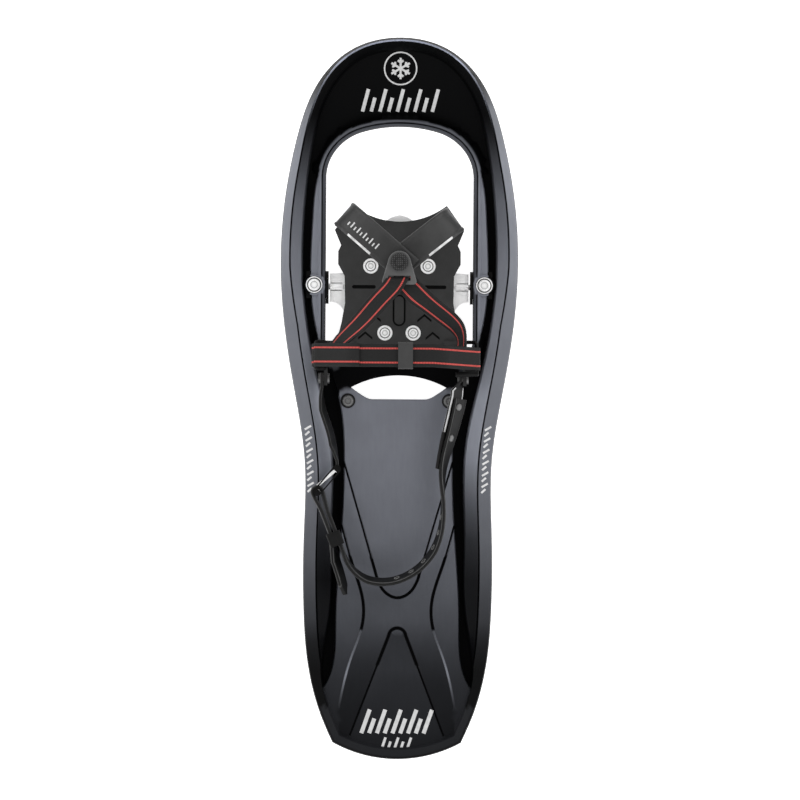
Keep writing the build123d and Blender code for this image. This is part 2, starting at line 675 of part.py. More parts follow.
with BuildPart() as binding_platform:
    with BuildSketch(Plane.XY.offset(PLATFORM_BOTTOM)):
        with BuildLine():
            ThreePointArc((-40, 163), (0, 149.4), (40, 163))
            right = Polyline((40, 163), (55, 142), (49.6, 129), (52, 124), (52, 113), (46.5, 103),
                             (46, 80), (49, 63), (53, 48), (50, 40), (0, 40))
            mirror(right, about=Plane.YZ)
        make_face()
        with Locations(*both_sides(FRONT_RIVET, REAR_RIVET)):
            Circle(SHANK_RADIUS + RUNNING_GAP, mode=Mode.SUBTRACT)
    extrude(amount=PLATFORM_TOP - PLATFORM_BOTTOM)
    with BuildSketch(Plane.XY.offset(PLATFORM_TOP)):
        with Locations(*both_sides((SLOT_X, PIVOT_Y))):
            SlotOverall(SLOT_LENGTH, SLOT_WIDTH)
        with Locations(*both_sides(*CHEVRON_PLACES)):
            Polygon((-6, -3), (-6, -5), (0, 0), (6, -5), (6, -3), (0, 2), align=None)
        with Locations((0, RIB_Y)):
            SlotOverall(RIB_LENGTH + 2 * RIB_GROOVE, RIB_WIDTH + 2 * RIB_GROOVE, rotation=90)
    extrude(amount=-MARK_DEPTH, mode=Mode.SUBTRACT)
    with BuildSketch(Plane.XY.offset(PLATFORM_TOP - MARK_DEPTH)):
        with Locations((0, RIB_Y)):
            SlotOverall(RIB_LENGTH, RIB_WIDTH, rotation=90)
    extrude(amount=MARK_DEPTH + RIB_HEIGHT)
    add(arm(ARM_LEFT_X, -ARM_FOOT_X))
    add(arm(ARM_RIGHT_X, ARM_FOOT_X))
finish(binding_platform, "binding_platform")


# ---- Toe harness ------------------------------------------------------------------------------
def wing(side, crown):
    """One harness band: flat over the toes, curving down to the platform's front corner."""
    along = Vector(side * WING_DIRECTION[0], WING_DIRECTION[1], 0)
    across = Vector(along.Y, -along.X, 0)
    with BuildPart() as band:
        with BuildSketch(Plane(origin=(0, CAP_Y, 0), x_dir=along, z_dir=across)):
            with BuildLine():
                flat = Line((WING_BACK, crown), (WING_FLAT, crown))
                Spline(flat @ 1, (44, crown - 11), (WING_REACH - 0.8, crown - 36),
                       (WING_REACH, PLATFORM_TOP), tangents=((1, 0), (0, -1)))
            trace(line_width=WING_THICKNESS)
        extrude(amount=WING_WIDTH / 2, both=True)
        with BuildSketch(Plane.XY):
            with Locations((0, CAP_Y)):
                Circle(CAP_SHANK + RUNNING_GAP)
        extrude(amount=TALL, mode=Mode.SUBTRACT)
    return band


harness_wing_right = wing(1, WING_CROWN)
finish(harness_wing_right, "harness_wing_right")
harness_wing_left = wing(-1, WING_CROWN + WING_LIFT)
finish(harness_wing_left, "harness_wing_left")

with BuildPart() as toe_buckle:
    with BuildSketch(Plane.XY.offset(BUCKLE_BOTTOM)):
        with Locations((0, CAP_Y)):
            Circle(BUCKLE_HEAD)
        with Locations(*both_sides(BUCKLE_FOOT)):
            Circle(BUCKLE_CORNER)
        make_hull()
        with Locations((0, BUCKLE_SLOT_Y)):
            Rectangle(*BUCKLE_SLOT, mode=Mode.SUBTRACT)
        with Locations((0, CAP_Y)):
            Circle(CAP_SHANK + RUNNING_GAP, mode=Mode.SUBTRACT)
    extrude(amount=BUCKLE_SHEET)
    fillet(toe_buckle.faces().sort_by(Axis.Z)[-1].outer_wire().edges(), radius=0.8)
finish(toe_buckle, "toe_buckle")

cap_seat = BUCKLE_BOTTOM + BUCKLE_SHEET
wing_under = WING_CROWN - WING_THICKNESS / 2
with BuildPart() as harness_cap:
    with BuildSketch(Plane.XY.offset(cap_seat)):
        with Locations((0, CAP_Y)):
            Circle(CAP_RADIUS)
            with PolarLocations(CAP_RADIUS, KNURLS):
                Circle(KNURL_RADIUS, mode=Mode.SUBTRACT)
    extrude(amount=CAP_HEIGHT)
    with BuildSketch(Plane.XY.offset(wing_under - CAP_FOOT_HEIGHT)):
        with Locations((0, CAP_Y)):
            Circle(CAP_SHANK)
    extrude(amount=cap_seat - wing_under + CAP_FOOT_HEIGHT)
    with BuildSketch(Plane.XY.offset(wing_under - CAP_FOOT_HEIGHT)):
        with Locations((0, CAP_Y)):
            Circle(CAP_FOOT)
    extrude(amount=CAP_FOOT_HEIGHT)
    with BuildSketch(Plane.XY.offset(cap_seat + CAP_HEIGHT)):
        with Locations((0, CAP_Y)):
            Circle(CAP_RING[0])
            Circle(CAP_RING[1], mode=Mode.SUBTRACT)
    extrude(amount=-CAP_RING_DEPTH, mode=Mode.SUBTRACT)
finish(harness_cap, "harness_cap")


# ---- Webbing ----------------------------------------------------------------------------------
def lacing(side, start, bend, end):
    """A diagonal webbing from the buckle's slot to the side: its middle line at three places."""
    heading = Vector(bend[0] - start[0], bend[1] - start[1], 0).normalized()
    width = Vector(heading.Y, -heading.X, 0) * (WEB_WIDTH / 2)
    end_width = Vector(0, side * WEB_WIDTH / 2, 0)
    places = (Vector(*start), Vector(*bend), Vector(*end))
    widths = (width, width, end_width)
    one = Edge.make_spline([p + w for p, w in zip(places, widths)])
    other = Edge.make_spline([p - w for p, w in zip(places, widths)])
    ribbon = Face.make_surface_from_curves(one, other)
    with BuildPart() as webbing:
        thicken(ribbon, amount=WEB_THICKNESS / 2, both=True)
    return webbing


lacing_webbing_left = lacing(1, (-5, 96.5, 100.8), (-47, 50, 82), (-57.5, INSTEP_Y, 74.5))
finish(lacing_webbing_left, "lacing_webbing_left")
lacing_webbing_right = lacing(-1, (8, 92, 98.6), (45, 56, 82), (52.5, INSTEP_Y, 74.5))
finish(lacing_webbing_right, "lacing_webbing_right")

with BuildPart() as instep_webbing:
    with BuildSketch(Plane.XZ.offset(-INSTEP_Y)):
        with BuildLine():
            crown = Line((-INSTEP_FLAT, INSTEP_TOP), (INSTEP_FLAT, INSTEP_TOP))
            for bar_x, near in ((RING_LEFT_X, crown @ 0), (RING_RIGHT_X, crown @ 1)):
                side = math.copysign(1, bar_x)
                bar = Vector(bar_x, RING_Z)
                run = (near - bar).normalized()
                out = Vector(-run.Y, run.X) * -side * (RING_WIRE + WEB_THICKNESS / 2 + TURN_PLAY)
                Line(near, bar + out)
                ThreePointArc(bar + out, bar - run * out.length, bar - out)
                Line(bar - out, bar - out + run * WEB_RETURN)
        trace(line_width=WEB_THICKNESS)
    extrude(amount=WEB_WIDTH / 2, both=True)
finish(instep_webbing, "instep_webbing")

with BuildPart() as instep_slider:
    with BuildSketch(Plane.YZ.offset(SLIDER_X)):
        with Locations((INSTEP_Y, INSTEP_TOP)):
            RectangleRounded(*SLIDER_SIZE, 1)
            Rectangle(WEB_WIDTH + SLIDER_PLAY, WEB_THICKNESS + SLIDER_PLAY, mode=Mode.SUBTRACT)
    extrude(amount=SLIDER_HALF, both=True)
finish(instep_slider, "instep_slider")


def side_ring(hem_x, bar_x):
    """Wire ring: its low bar sits in the arm's hem and its high bar turns the webbing."""
    low = Vector(hem_x, INSTEP_Y, HEM_Z)
    high = Vector(bar_x, INSTEP_Y, RING_Z)
    half = Vector(0, RING_HALF, 0)
    with BuildPart() as ring:
        with BuildLine() as path:
            FilletPolyline(low - half, high - half, high + half, low + half, radius=RING_CORNER, close=True)
        with BuildSketch(Plane(origin=path.line @ 0, z_dir=path.line % 0)):
            Circle(RING_WIRE)
        sweep()
    return ring


side_ring_left = side_ring(ARM_LEFT_X, RING_LEFT_X)
finish(side_ring_left, "side_ring_left")
side_ring_right = side_ring(ARM_RIGHT_X, RING_RIGHT_X)
finish(side_ring_right, "side_ring_right")


# ---- Heel strap -------------------------------------------------------------------------------
def cross_cylinder(place, heading, radius, reach):
    """A cylinder through a standing strap, square to it, at mid height."""
    across = Vector(heading.Y, -heading.X, 0)
    with BuildPart() as cylinder:
        with BuildSketch(Plane(origin=(place.X, place.Y, STRAP_MIDDLE), x_dir=heading, z_dir=across)):
            Circle(radius)
        extrude(amount=reach, both=True)
    return cylinder.part


front_bar = Vector(*FRAME_FRONT)
roller_bar = Vector(*FRAME_ROLLER)
frame_run = (roller_bar - front_bar).normalized()
frame_out = Vector(frame_run.Y, -frame_run.X)
wrap_radius = ROLLER_RADIUS + TURN_PLAY + STRAP_THICKNESS / 2

with BuildLine() as right_tab_line:
    straight = Line((ARM_RIGHT_X - TAB_INSET, TAB_FRONT), (ARM_RIGHT_X - TAB_INSET, TAB_BEND))
    Spline(straight @ 1, (45.6, -26), (36, -61), tangents=((0, -1), (-0.25, -1)))
with BuildLine() as left_tab_line:
    straight = Line((ARM_LEFT_X - TAB_INSET, TAB_FRONT), (ARM_LEFT_X - TAB_INSET, TAB_BEND))
    Spline(straight @ 1, (-56, -28), (front_bar.X + 0.4, front_bar.Y + 2), tangents=((0, -1), (0, -1)))

straight_run = Vector(0.36, -0.933)
straight_out = Vector(-0.933, -0.36)
inner_start = Vector(-59.5, -97)
inner_end = inner_start + straight_run * LEG_LENGTH
outer_start = inner_start + straight_out * LAYER_GAP
outer_end = outer_start + straight_run * LEG_LENGTH
roller_in = roller_bar - straight_out * wrap_radius
roller_out = roller_bar + straight_out * wrap_radius

beside_tab = []
for at in LAP:
    heading = right_tab_line.line % at
    outward = Vector(-heading.Y, heading.X, 0)
    lap = (TAB_THICKNESS + STRAP_THICKNESS) / 2 + LAP_PLAY
    beside_tab.append(right_tab_line.line @ at + outward * lap)

with BuildLine() as strap_line:
    around = Spline(*beside_tab, (37.6, -98), (23.5, -135.5), (-6, -153.5), (-31, -149.5), inner_end,
                    tangents=(right_tab_line.line % LAP[0], -straight_run))
    Line(inner_end, inner_start)
    Spline(inner_start, roller_in, tangents=(-straight_run, -straight_run))
    ThreePointArc(roller_in, roller_bar - straight_run * wrap_radius, roller_out)
    Spline(roller_out, outer_start, tangents=(straight_run, straight_run))
    Line(outer_start, outer_end)
    Spline(outer_end, (-41.5, -167), tangents=(straight_run, (0.2, -1)))

with BuildPart() as heel_strap:
    with BuildSketch(Plane.XY.offset(STRAP_BOTTOM)):
        trace(strap_line.line, line_width=STRAP_THICKNESS)
    extrude(amount=STRAP_WIDTH)
    for step in range(STRAP_HOLES):
        at = HOLES_FROM + HOLES_STEP * step
        add(cross_cylinder(around @ at, around % at, HOLE_RADIUS, STRAP_THICKNESS), mode=Mode.SUBTRACT)
    for at in TAB_RIVETS:
        bore = cross_cylinder(right_tab_line.line @ at, right_tab_line.line % at, TAB_BORE, 8)
        add(bore, mode=Mode.SUBTRACT)
    with BuildSketch(Plane.XY.offset(STRAP_MIDDLE - TONGUE_SLOT / 2)):
        with BuildLine():
            near = roller_bar + frame_run * 8
            Polyline(front_bar - frame_out * 2, near - frame_out * 0.6, near + frame_out * 14,
                     front_bar + frame_out * 14, close=True)
        make_face()
    extrude(amount=TONGUE_SLOT, mode=Mode.SUBTRACT)
finish(heel_strap, "heel_strap")


def swing_hole(plate_x):
    """Bore for the swing rivet in the tab beside an arm."""
    with BuildPart() as bore:
        with BuildSketch(Plane.YZ.offset(plate_x)):
            with Locations((SWING_Y, STRAP_MIDDLE)):
                Circle(SHANK_RADIUS + RUNNING_GAP)
        extrude(amount=8, both=True)
    return bore.part


with BuildPart() as heel_strap_tab_right:
    with BuildSketch(Plane.XY.offset(STRAP_BOTTOM)):
        trace(right_tab_line.line, line_width=TAB_THICKNESS)
    extrude(amount=STRAP_WIDTH)
    add(swing_hole(ARM_RIGHT_X), mode=Mode.SUBTRACT)
    for at in TAB_RIVETS:
        bore = cross_cylinder(right_tab_line.line @ at, right_tab_line.line % at, TAB_BORE, 8)
        add(bore, mode=Mode.SUBTRACT)
finish(heel_strap_tab_right, "heel_strap_tab_right")

with BuildPart() as heel_strap_tab_left:
    with BuildSketch(Plane.XY.offset(STRAP_BOTTOM)):
        trace(left_tab_line.line, line_width=TAB_THICKNESS)
        with Locations(FRAME_FRONT):
            Circle(ROLLER_BAR + FRAME_EYE)
            Circle(ROLLER_BAR + RUNNING_GAP, mode=Mode.SUBTRACT)
    extrude(amount=STRAP_WIDTH)
    add(swing_hole(ARM_LEFT_X), mode=Mode.SUBTRACT)
    with BuildSketch(Plane.XY.offset(STRAP_MIDDLE - TONGUE_SLOT / 2)):
        with Locations(FRAME_FRONT):
            Circle(TONGUE_ROOM)
    extrude(amount=TONGUE_SLOT, mode=Mode.SUBTRACT)
finish(heel_strap_tab_left, "heel_strap_tab_left")

with BuildPart() as heel_strap_rivets:
    for at in TAB_RIVETS:
        place = right_tab_line.line @ at
        heading = right_tab_line.line % at
        inward = Vector(heading.Y, -heading.X, 0)
        base = Vector(place.X, place.Y, STRAP_MIDDLE)
        inner_face = base + inward * (TAB_THICKNESS / 2 + TURN_PLAY)
        outer_face = base - inward * (TAB_THICKNESS / 2 + 2 * LAP_PLAY + STRAP_THICKNESS)
        with BuildSketch(Plane(origin=inner_face, x_dir=heading, z_dir=-inward)):
            Circle(TAB_SHANK)
        extrude(amount=(outer_face - inner_face).length)
        with BuildSketch(Plane(origin=inner_face, x_dir=heading, z_dir=inward)):
            Circle(TAB_HEAD)
        extrude(amount=TAB_HEAD_HEIGHT)
        with BuildSketch(Plane(origin=outer_face, x_dir=heading, z_dir=-inward)):
            Circle(TAB_HEAD)
        extrude(amount=TAB_HEAD_HEIGHT)
finish(heel_strap_rivets, "heel_strap_rivets")

with BuildPart() as heel_strap_pivots:
    for plate_x in (ARM_LEFT_X, ARM_RIGHT_X):
        low = plate_x - TAB_INSET - TAB_THICKNESS / 2 - SWING_PLAY
        high = plate_x + ARM_THICKNESS / 2 + SWING_PLAY
        stages = (
            (low, high - low, SHANK_RADIUS),
            (low, -SWING_HEAD_HEIGHT, SWING_HEAD),
            (high, SWING_HEAD_HEIGHT, SWING_HEAD),
        )
        for start, amount, radius in stages:
            with BuildSketch(Plane.YZ.offset(start)):
                with Locations((SWING_Y, STRAP_MIDDLE)):
                    Circle(radius)
            extrude(amount=amount)
finish(heel_strap_pivots, "heel_strap_pivots")

# ---- Heel buckle ------------------------------------------------------------------------------
frame_angle = math.degrees(math.atan2(frame_run.Y, frame_run.X))
frame_length = (roller_bar - front_bar).length
frame_middle = (front_bar + roller_bar) * 0.5
plate_low = STRAP_BOTTOM - FRAME_GAP - FRAME_SHEET
plate_high = STRAP_BOTTOM + STRAP_WIDTH + FRAME_GAP

with BuildPart() as heel_buckle_frame:
    with BuildSketch(Plane.XY.offset(plate_low), Plane.XY.offset(plate_high)):
        with Locations(Location((frame_middle.X, frame_middle.Y, 0), (0, 0, frame_angle))):
            SlotCenterToCenter(frame_length, FRAME_WIDTH)
            Rectangle(frame_length - 2 * FRAME_EYE, FRAME_WINDOW, mode=Mode.SUBTRACT)
    extrude(amount=FRAME_SHEET)
    with BuildSketch(Plane.XY.offset(plate_low)):
        with Locations(FRAME_FRONT, FRAME_ROLLER):
            Circle(ROLLER_BAR)
    extrude(amount=plate_high - plate_low + FRAME_SHEET)
finish(heel_buckle_frame, "heel_buckle_frame")

with BuildPart() as heel_buckle_roller:
    with BuildSketch(Plane.XY.offset(STRAP_BOTTOM)):
        with Locations(FRAME_ROLLER):
            Circle(ROLLER_RADIUS)
            Circle(ROLLER_BAR + RUNNING_GAP, mode=Mode.SUBTRACT)
    extrude(amount=STRAP_WIDTH)
finish(heel_buckle_roller, "heel_buckle_roller")

with BuildPart() as heel_buckle_tongue:
    tip = roller_bar + frame_out * (ROLLER_RADIUS + TONGUE_HALF + 0.8) + frame_run * 3
    with BuildSketch(Plane.XY.offset(STRAP_MIDDLE - TONGUE_HALF)):
        with BuildLine() as tongue_line:
            Line(front_bar, tip)
        trace(line_width=2 * TONGUE_HALF)
        with Locations(FRAME_FRONT):
            Circle(ROLLER_BAR + TONGUE_EYE)
            Circle(ROLLER_BAR + RUNNING_GAP, mode=Mode.SUBTRACT)
    extrude(amount=2 * TONGUE_HALF)
finish(heel_buckle_tongue, "heel_buckle_tongue")

# ---- Strap keeper -----------------------------------------------------------------------------
keeper_middle = inner_start + straight_run * KEEPER_AT + straight_out * (LAYER_GAP / 2)
keeper_depth = LAYER_GAP + STRAP_THICKNESS + KEEPER_PLAY
keeper_height = STRAP_WIDTH + KEEPER_PLAY
with BuildPart() as strap_keeper:
    keeper_plane = Plane(
        origin=(keeper_middle.X, keeper_middle.Y, STRAP_MIDDLE),
        x_dir=(straight_out.X, straight_out.Y, 0), z_dir=(straight_run.X, straight_run.Y, 0),
    )
    with BuildSketch(keeper_plane):
        RectangleRounded(keeper_depth + 2 * KEEPER_WALL, keeper_height + 2 * KEEPER_WALL, 1.2)
        Rectangle(keeper_depth, keeper_height, mode=Mode.SUBTRACT)
    extrude(amount=KEEPER_HALF, both=True)
finish(strap_keeper, "strap_keeper")
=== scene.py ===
import math

import bpy
import numpy as np
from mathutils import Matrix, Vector
from mathutils.geometry import delaunay_2d_cdt


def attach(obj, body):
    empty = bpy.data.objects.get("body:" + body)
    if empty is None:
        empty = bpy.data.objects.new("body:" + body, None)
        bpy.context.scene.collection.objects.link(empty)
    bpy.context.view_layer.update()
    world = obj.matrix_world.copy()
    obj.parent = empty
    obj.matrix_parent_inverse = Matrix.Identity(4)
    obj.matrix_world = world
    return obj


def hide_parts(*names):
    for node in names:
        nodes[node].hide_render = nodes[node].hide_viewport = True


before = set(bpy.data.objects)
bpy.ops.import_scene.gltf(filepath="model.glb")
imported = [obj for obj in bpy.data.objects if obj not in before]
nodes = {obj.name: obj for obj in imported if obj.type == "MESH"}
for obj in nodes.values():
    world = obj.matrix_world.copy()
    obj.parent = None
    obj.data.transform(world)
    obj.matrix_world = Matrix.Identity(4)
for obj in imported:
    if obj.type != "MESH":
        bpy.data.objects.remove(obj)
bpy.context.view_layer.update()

# A moulded snowshoe and its strap binding. Lengths are in millimetres until a mesh is made.
MM = 0.001


# ---- Curves ----
def smooth_line(points, step=2.0, first=None, last=None):
    """Points every few millimetres along a cubic spline, with optional headings at its ends."""
    p = np.array(points, float)
    count = len(p)
    gaps = np.linalg.norm(np.diff(p, axis=0), axis=1)
    chord = np.r_[0, np.cumsum(gaps)]
    matrix = np.eye(count)
    known = np.zeros_like(p)
    for i in range(1, count - 1):
        matrix[i, i - 1:i + 2] = gaps[i - 1], 2 * (gaps[i - 1] + gaps[i]), gaps[i]
        known[i] = 6 * ((p[i + 1] - p[i]) / gaps[i] - (p[i] - p[i - 1]) / gaps[i - 1])
    if first is not None:
        matrix[0, :2] = 2 * gaps[0], gaps[0]
        known[0] = 6 * ((p[1] - p[0]) / gaps[0] - unit(first))
    if last is not None:
        matrix[-1, -2:] = gaps[-1], 2 * gaps[-1]
        known[-1] = 6 * (unit(last) - (p[-1] - p[-2]) / gaps[-1])
    bend = np.linalg.solve(matrix, known)
    t = np.linspace(0, chord[-1], max(3, int(chord[-1] / step) + 1))
    i = np.clip(np.searchsorted(chord, t, side="right") - 1, 0, count - 2)
    gap = gaps[i][:, None]
    ahead = (chord[i + 1] - t)[:, None]
    behind = (t - chord[i])[:, None]
    cubic = (bend[i] * ahead**3 + bend[i + 1] * behind**3) / (6 * gap)
    here = (p[i] / gap - bend[i] * gap / 6) * ahead
    there = (p[i + 1] / gap - bend[i + 1] * gap / 6) * behind
    return cubic + here + there


def unit(v):
    """The vector, or each row of vectors, at length one."""
    v = np.array(v, float)
    return v / np.maximum(np.linalg.norm(v, axis=-1, keepdims=True), 1e-9)


def straight(a, b, step=2.0):
    """Points along a straight line."""
    a, b = np.array(a, float), np.array(b, float)
    count = max(1, int(np.linalg.norm(b - a) / step))
    return a + (b - a) * np.linspace(0, 1, count + 1)[:, None]


def tangent_arc(start, heading, end, step=2.0):
    """Points of the arc that leaves the start along a heading, and its heading at the end."""
    start, end = np.array(start, float), np.array(end, float)
    heading = unit(heading)
    chord = end - start
    turn = 2 * math.atan2(heading[0] * chord[1] - heading[1] * chord[0], heading @ chord)
    radius = np.linalg.norm(chord) / (2 * math.sin(turn / 2))
    centre = start + np.array([-heading[1], heading[0]]) * radius
    spoke = start - centre
    angles = np.linspace(0, turn, max(3, int(abs(radius * turn) / step) + 1))
    c, s = np.cos(angles), np.sin(angles)
    arc = centre + np.stack([c * spoke[0] - s * spoke[1], s * spoke[0] + c * spoke[1]], 1)
    c, s = math.cos(turn), math.sin(turn)
    return arc, np.array([c * heading[0] - s * heading[1], s * heading[0] + c * heading[1]])


def three_point_arc(a, middle, b, step=2.0):
    """Points of the arc through three places."""
    a, middle, b = (np.array(v, float) for v in (a, middle, b))
    normals = np.array([middle - a, b - middle])
    offsets = np.array([(middle @ middle - a @ a) / 2, (b @ b - middle @ middle) / 2])
    centre = np.linalg.solve(normals, offsets)
    angles = np.unwrap([math.atan2(*(v - centre)[::-1]) for v in (a, middle, b)])
    radius = np.linalg.norm(a - centre)
    count = max(4, int(abs(angles[2] - angles[0]) * radius / step))
    sweep = np.linspace(angles[0], angles[2], count + 1)
    return centre + radius * np.stack([np.cos(sweep), np.sin(sweep)], 1)


def circle(x, y, radius, count=32):
    """A closed ring of points."""
    angles = np.linspace(0, 2 * math.pi, count, endpoint=False)
    return np.stack([x + radius * np.cos(angles), y + radius * np.sin(angles)], 1)


def join(*parts):
    """One line from several that follow on from each other, without doubled points."""
    line = np.vstack(parts)
    keep = np.r_[True, np.linalg.norm(np.diff(line, axis=0), axis=1) > 0.05]
    return line[keep]


def mirrored(line):
    """The line's mirror image across the centreline, in reverse order."""
    return (line * np.array([-1, 1]))[::-1]


def shifted(loop, distance):
    """A closed loop moved to its left by a distance, which may differ from point to point."""
    along = unit(np.roll(loop, -1, axis=0) - np.roll(loop, 1, axis=0))
    left = np.stack([-along[:, 1], along[:, 0]], 1)
    return loop + left * np.reshape(np.broadcast_to(distance, len(loop)), (-1, 1))


def beside(line, distance):
    """An open line moved to its left."""
    along = unit(np.gradient(line, axis=0))
    return line + np.stack([-along[:, 1], along[:, 0]], 1) * distance


def away(points, line):
    """Distance from each point to an open line."""
    best = np.full(len(points), 1e9)
    for a, b in zip(line[:-1], line[1:]):
        run = b - a
        t = np.clip(((points - a) @ run) / max(run @ run, 1e-12), 0, 1)
        best = np.minimum(best, np.linalg.norm(points - a - t[:, None] * run, axis=1))
    return best


def inside(points, loop):
    """Whether each point is inside a closed loop."""
    x, y = points.T
    result = np.zeros(len(points), bool)
    for (x1, y1), (x2, y2) in zip(loop, np.roll(loop, -1, axis=0)):
        if y1 != y2:
            result ^= ((y1 > y) != (y2 > y)) & (x < (x2 - x1) * (y - y1) / (y2 - y1) + x1)
    return result


def depth_in(points, loop):
    """Distance from a closed loop, positive inside it."""
    distance = away(points, np.vstack([loop, loop[:1]]))
    return np.where(inside(points, loop), distance, -distance)


# ---- Meshes ----
def new_object(name, verts, faces, angle=35, **attributes):
    """A mesh object from millimetre points, with smooth shading that breaks at sharp edges."""
    mesh = bpy.data.meshes.new(name)
    mesh.from_pydata((np.asarray(verts) * MM).tolist(), [], [list(map(int, f)) for f in faces])
    for label, values in attributes.items():
        layer = mesh.attributes.new(name=label, type="FLOAT", domain="POINT")
        layer.data.foreach_set("value", np.asarray(values, np.float32))
    mesh.update()
    mesh.shade_smooth()
    mesh.set_sharp_from_angle(angle=math.radians(angle))
    obj = bpy.data.objects.new(name, mesh)
    bpy.context.scene.collection.objects.link(obj)
    return obj


def dress(obj, material, body, replaces=()):
    """Give a piece its material, its body and the nodes that it stands for."""
    obj.data.materials.clear()
    obj.data.materials.append(material)
    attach(obj, body)
    if replaces:
        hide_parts(*replaces)
    return obj


def plate(name, region, loops, lines, spacing, top, bottom, angle=35, tone=None):
    """A sheet between two height functions. Its region is a test, its creases are loops and lines."""
    points, edges = [], []
    for run, closed in [(loop, True) for loop in loops] + [(line, False) for line in lines]:
        base = len(points)
        points += run.tolist()
        edges += [(base + i, base + i + 1) for i in range(len(run) - 1)]
        if closed:
            edges.append((base + len(run) - 1, base))
    creases = np.array(points)
    low, high = creases.min(0), creases.max(0)
    gx, gy = np.meshgrid(np.arange(low[0], high[0], spacing), np.arange(low[1], high[1], spacing))
    gx[1::2] += spacing / 2
    grid = np.stack([gx.ravel(), gy.ravel()], 1)
    grid = grid[region(grid)]
    clear = (0.55 * spacing)**2
    free = [p.tolist() for p in grid if ((creases - p)**2).sum(axis=1).min() > clear]
    seeds = [Vector(p) for p in points + free]
    found, _, faces, _, _, _ = delaunay_2d_cdt(seeds, edges, [], 0, 1e-3)
    flat = np.array([tuple(v) for v in found])
    faces = np.array([f for f in faces if len(f) == 3])
    faces = faces[region(flat[faces].mean(1))]
    used = np.unique(faces)
    place = np.full(len(flat), -1)
    place[used] = np.arange(len(used))
    flat, faces = flat[used], place[faces]
    cross = np.cross(flat[faces[:, 1]] - flat[faces[:, 0]], flat[faces[:, 2]] - flat[faces[:, 0]])
    faces[cross < 0] = faces[cross < 0][:, ::-1]
    count = len(flat)
    upper = np.column_stack([flat, top(flat)])
    lower = np.column_stack([flat, bottom(flat)])
    rim = set()
    for f in faces:
        for a, b in ((f[0], f[1]), (f[1], f[2]), (f[2], f[0])):
            if (b, a) in rim:
                rim.discard((b, a))
            else:
                rim.add((a, b))
    walls = [(b, a, a + count, b + count) for a, b in sorted(rim)]
    all_faces = faces.tolist() + (faces[:, ::-1] + count).tolist() + walls
    extra = {} if tone is None else {"tone": np.tile(tone(flat), 2)}
    return new_object(name, np.vstack([upper, lower]), all_faces, angle, **extra)


def ribbon(name, centres, widths, half, thickness, across=16, relief=None, angle=50, rounding=0.35):
    """A band along a line. Each centre has a unit width direction; half and thickness may be arrays."""
    centres, widths = np.array(centres, float), unit(widths)
    count = len(centres)
    half = np.broadcast_to(half, count)[:, None]
    thickness = np.broadcast_to(thickness, count)[:, None]
    along = unit(np.gradient(centres, axis=0))
    normal = unit(np.cross(along, widths))
    run = np.r_[0, np.cumsum(np.linalg.norm(np.diff(centres, axis=0), axis=1))]
    u = np.sin(np.linspace(-1, 1, across + 1) * math.pi / 2) * 0.25 + np.linspace(-1, 1, across + 1) * 0.75
    edge = np.clip((1 - np.abs(u)) * half / (rounding * thickness), 0, 1)
    body = thickness / 2 * np.sqrt(np.clip(1 - (1 - edge)**2, 0.04, 1))
    raised = relief(run[:, None], u[None, :] * half) if relief else 0
    sides = []
    for sign in (1, -1):
        lift = sign * (body + raised)
        sides.append(centres[:, None] + widths[:, None] * (u * half)[:, :, None]
                     + normal[:, None] * lift[:, :, None])
    verts = np.concatenate([s.reshape(-1, 3) for s in sides])
    columns = across + 1
    total = count * columns
    faces = []
    for i in range(count - 1):
        for j in range(across):
            a = i * columns + j
            faces.append((a, a + columns, a + columns + 1, a + 1))
            faces.append((a + total, a + total + 1, a + total + columns + 1, a + total + columns))
        a, b = i * columns, i * columns + across
        faces.append((a, a + total, a + total + columns, a + columns))
        faces.append((b, b + columns, b + total + columns, b + total))
    for row, order in ((0, 1), (count - 1, -1)):
        for j in range(across):
            a = row * columns + j
            faces.append((a, a + 1, a + total + 1, a + total)[::order])
    across_mm = np.tile((u[None, :] * half + 0 * run[:, None]).ravel(), 2)
    along_mm = np.tile(np.repeat(run, columns), 2)
    return new_object(name, verts, faces, angle, across=across_mm, along=along_mm)


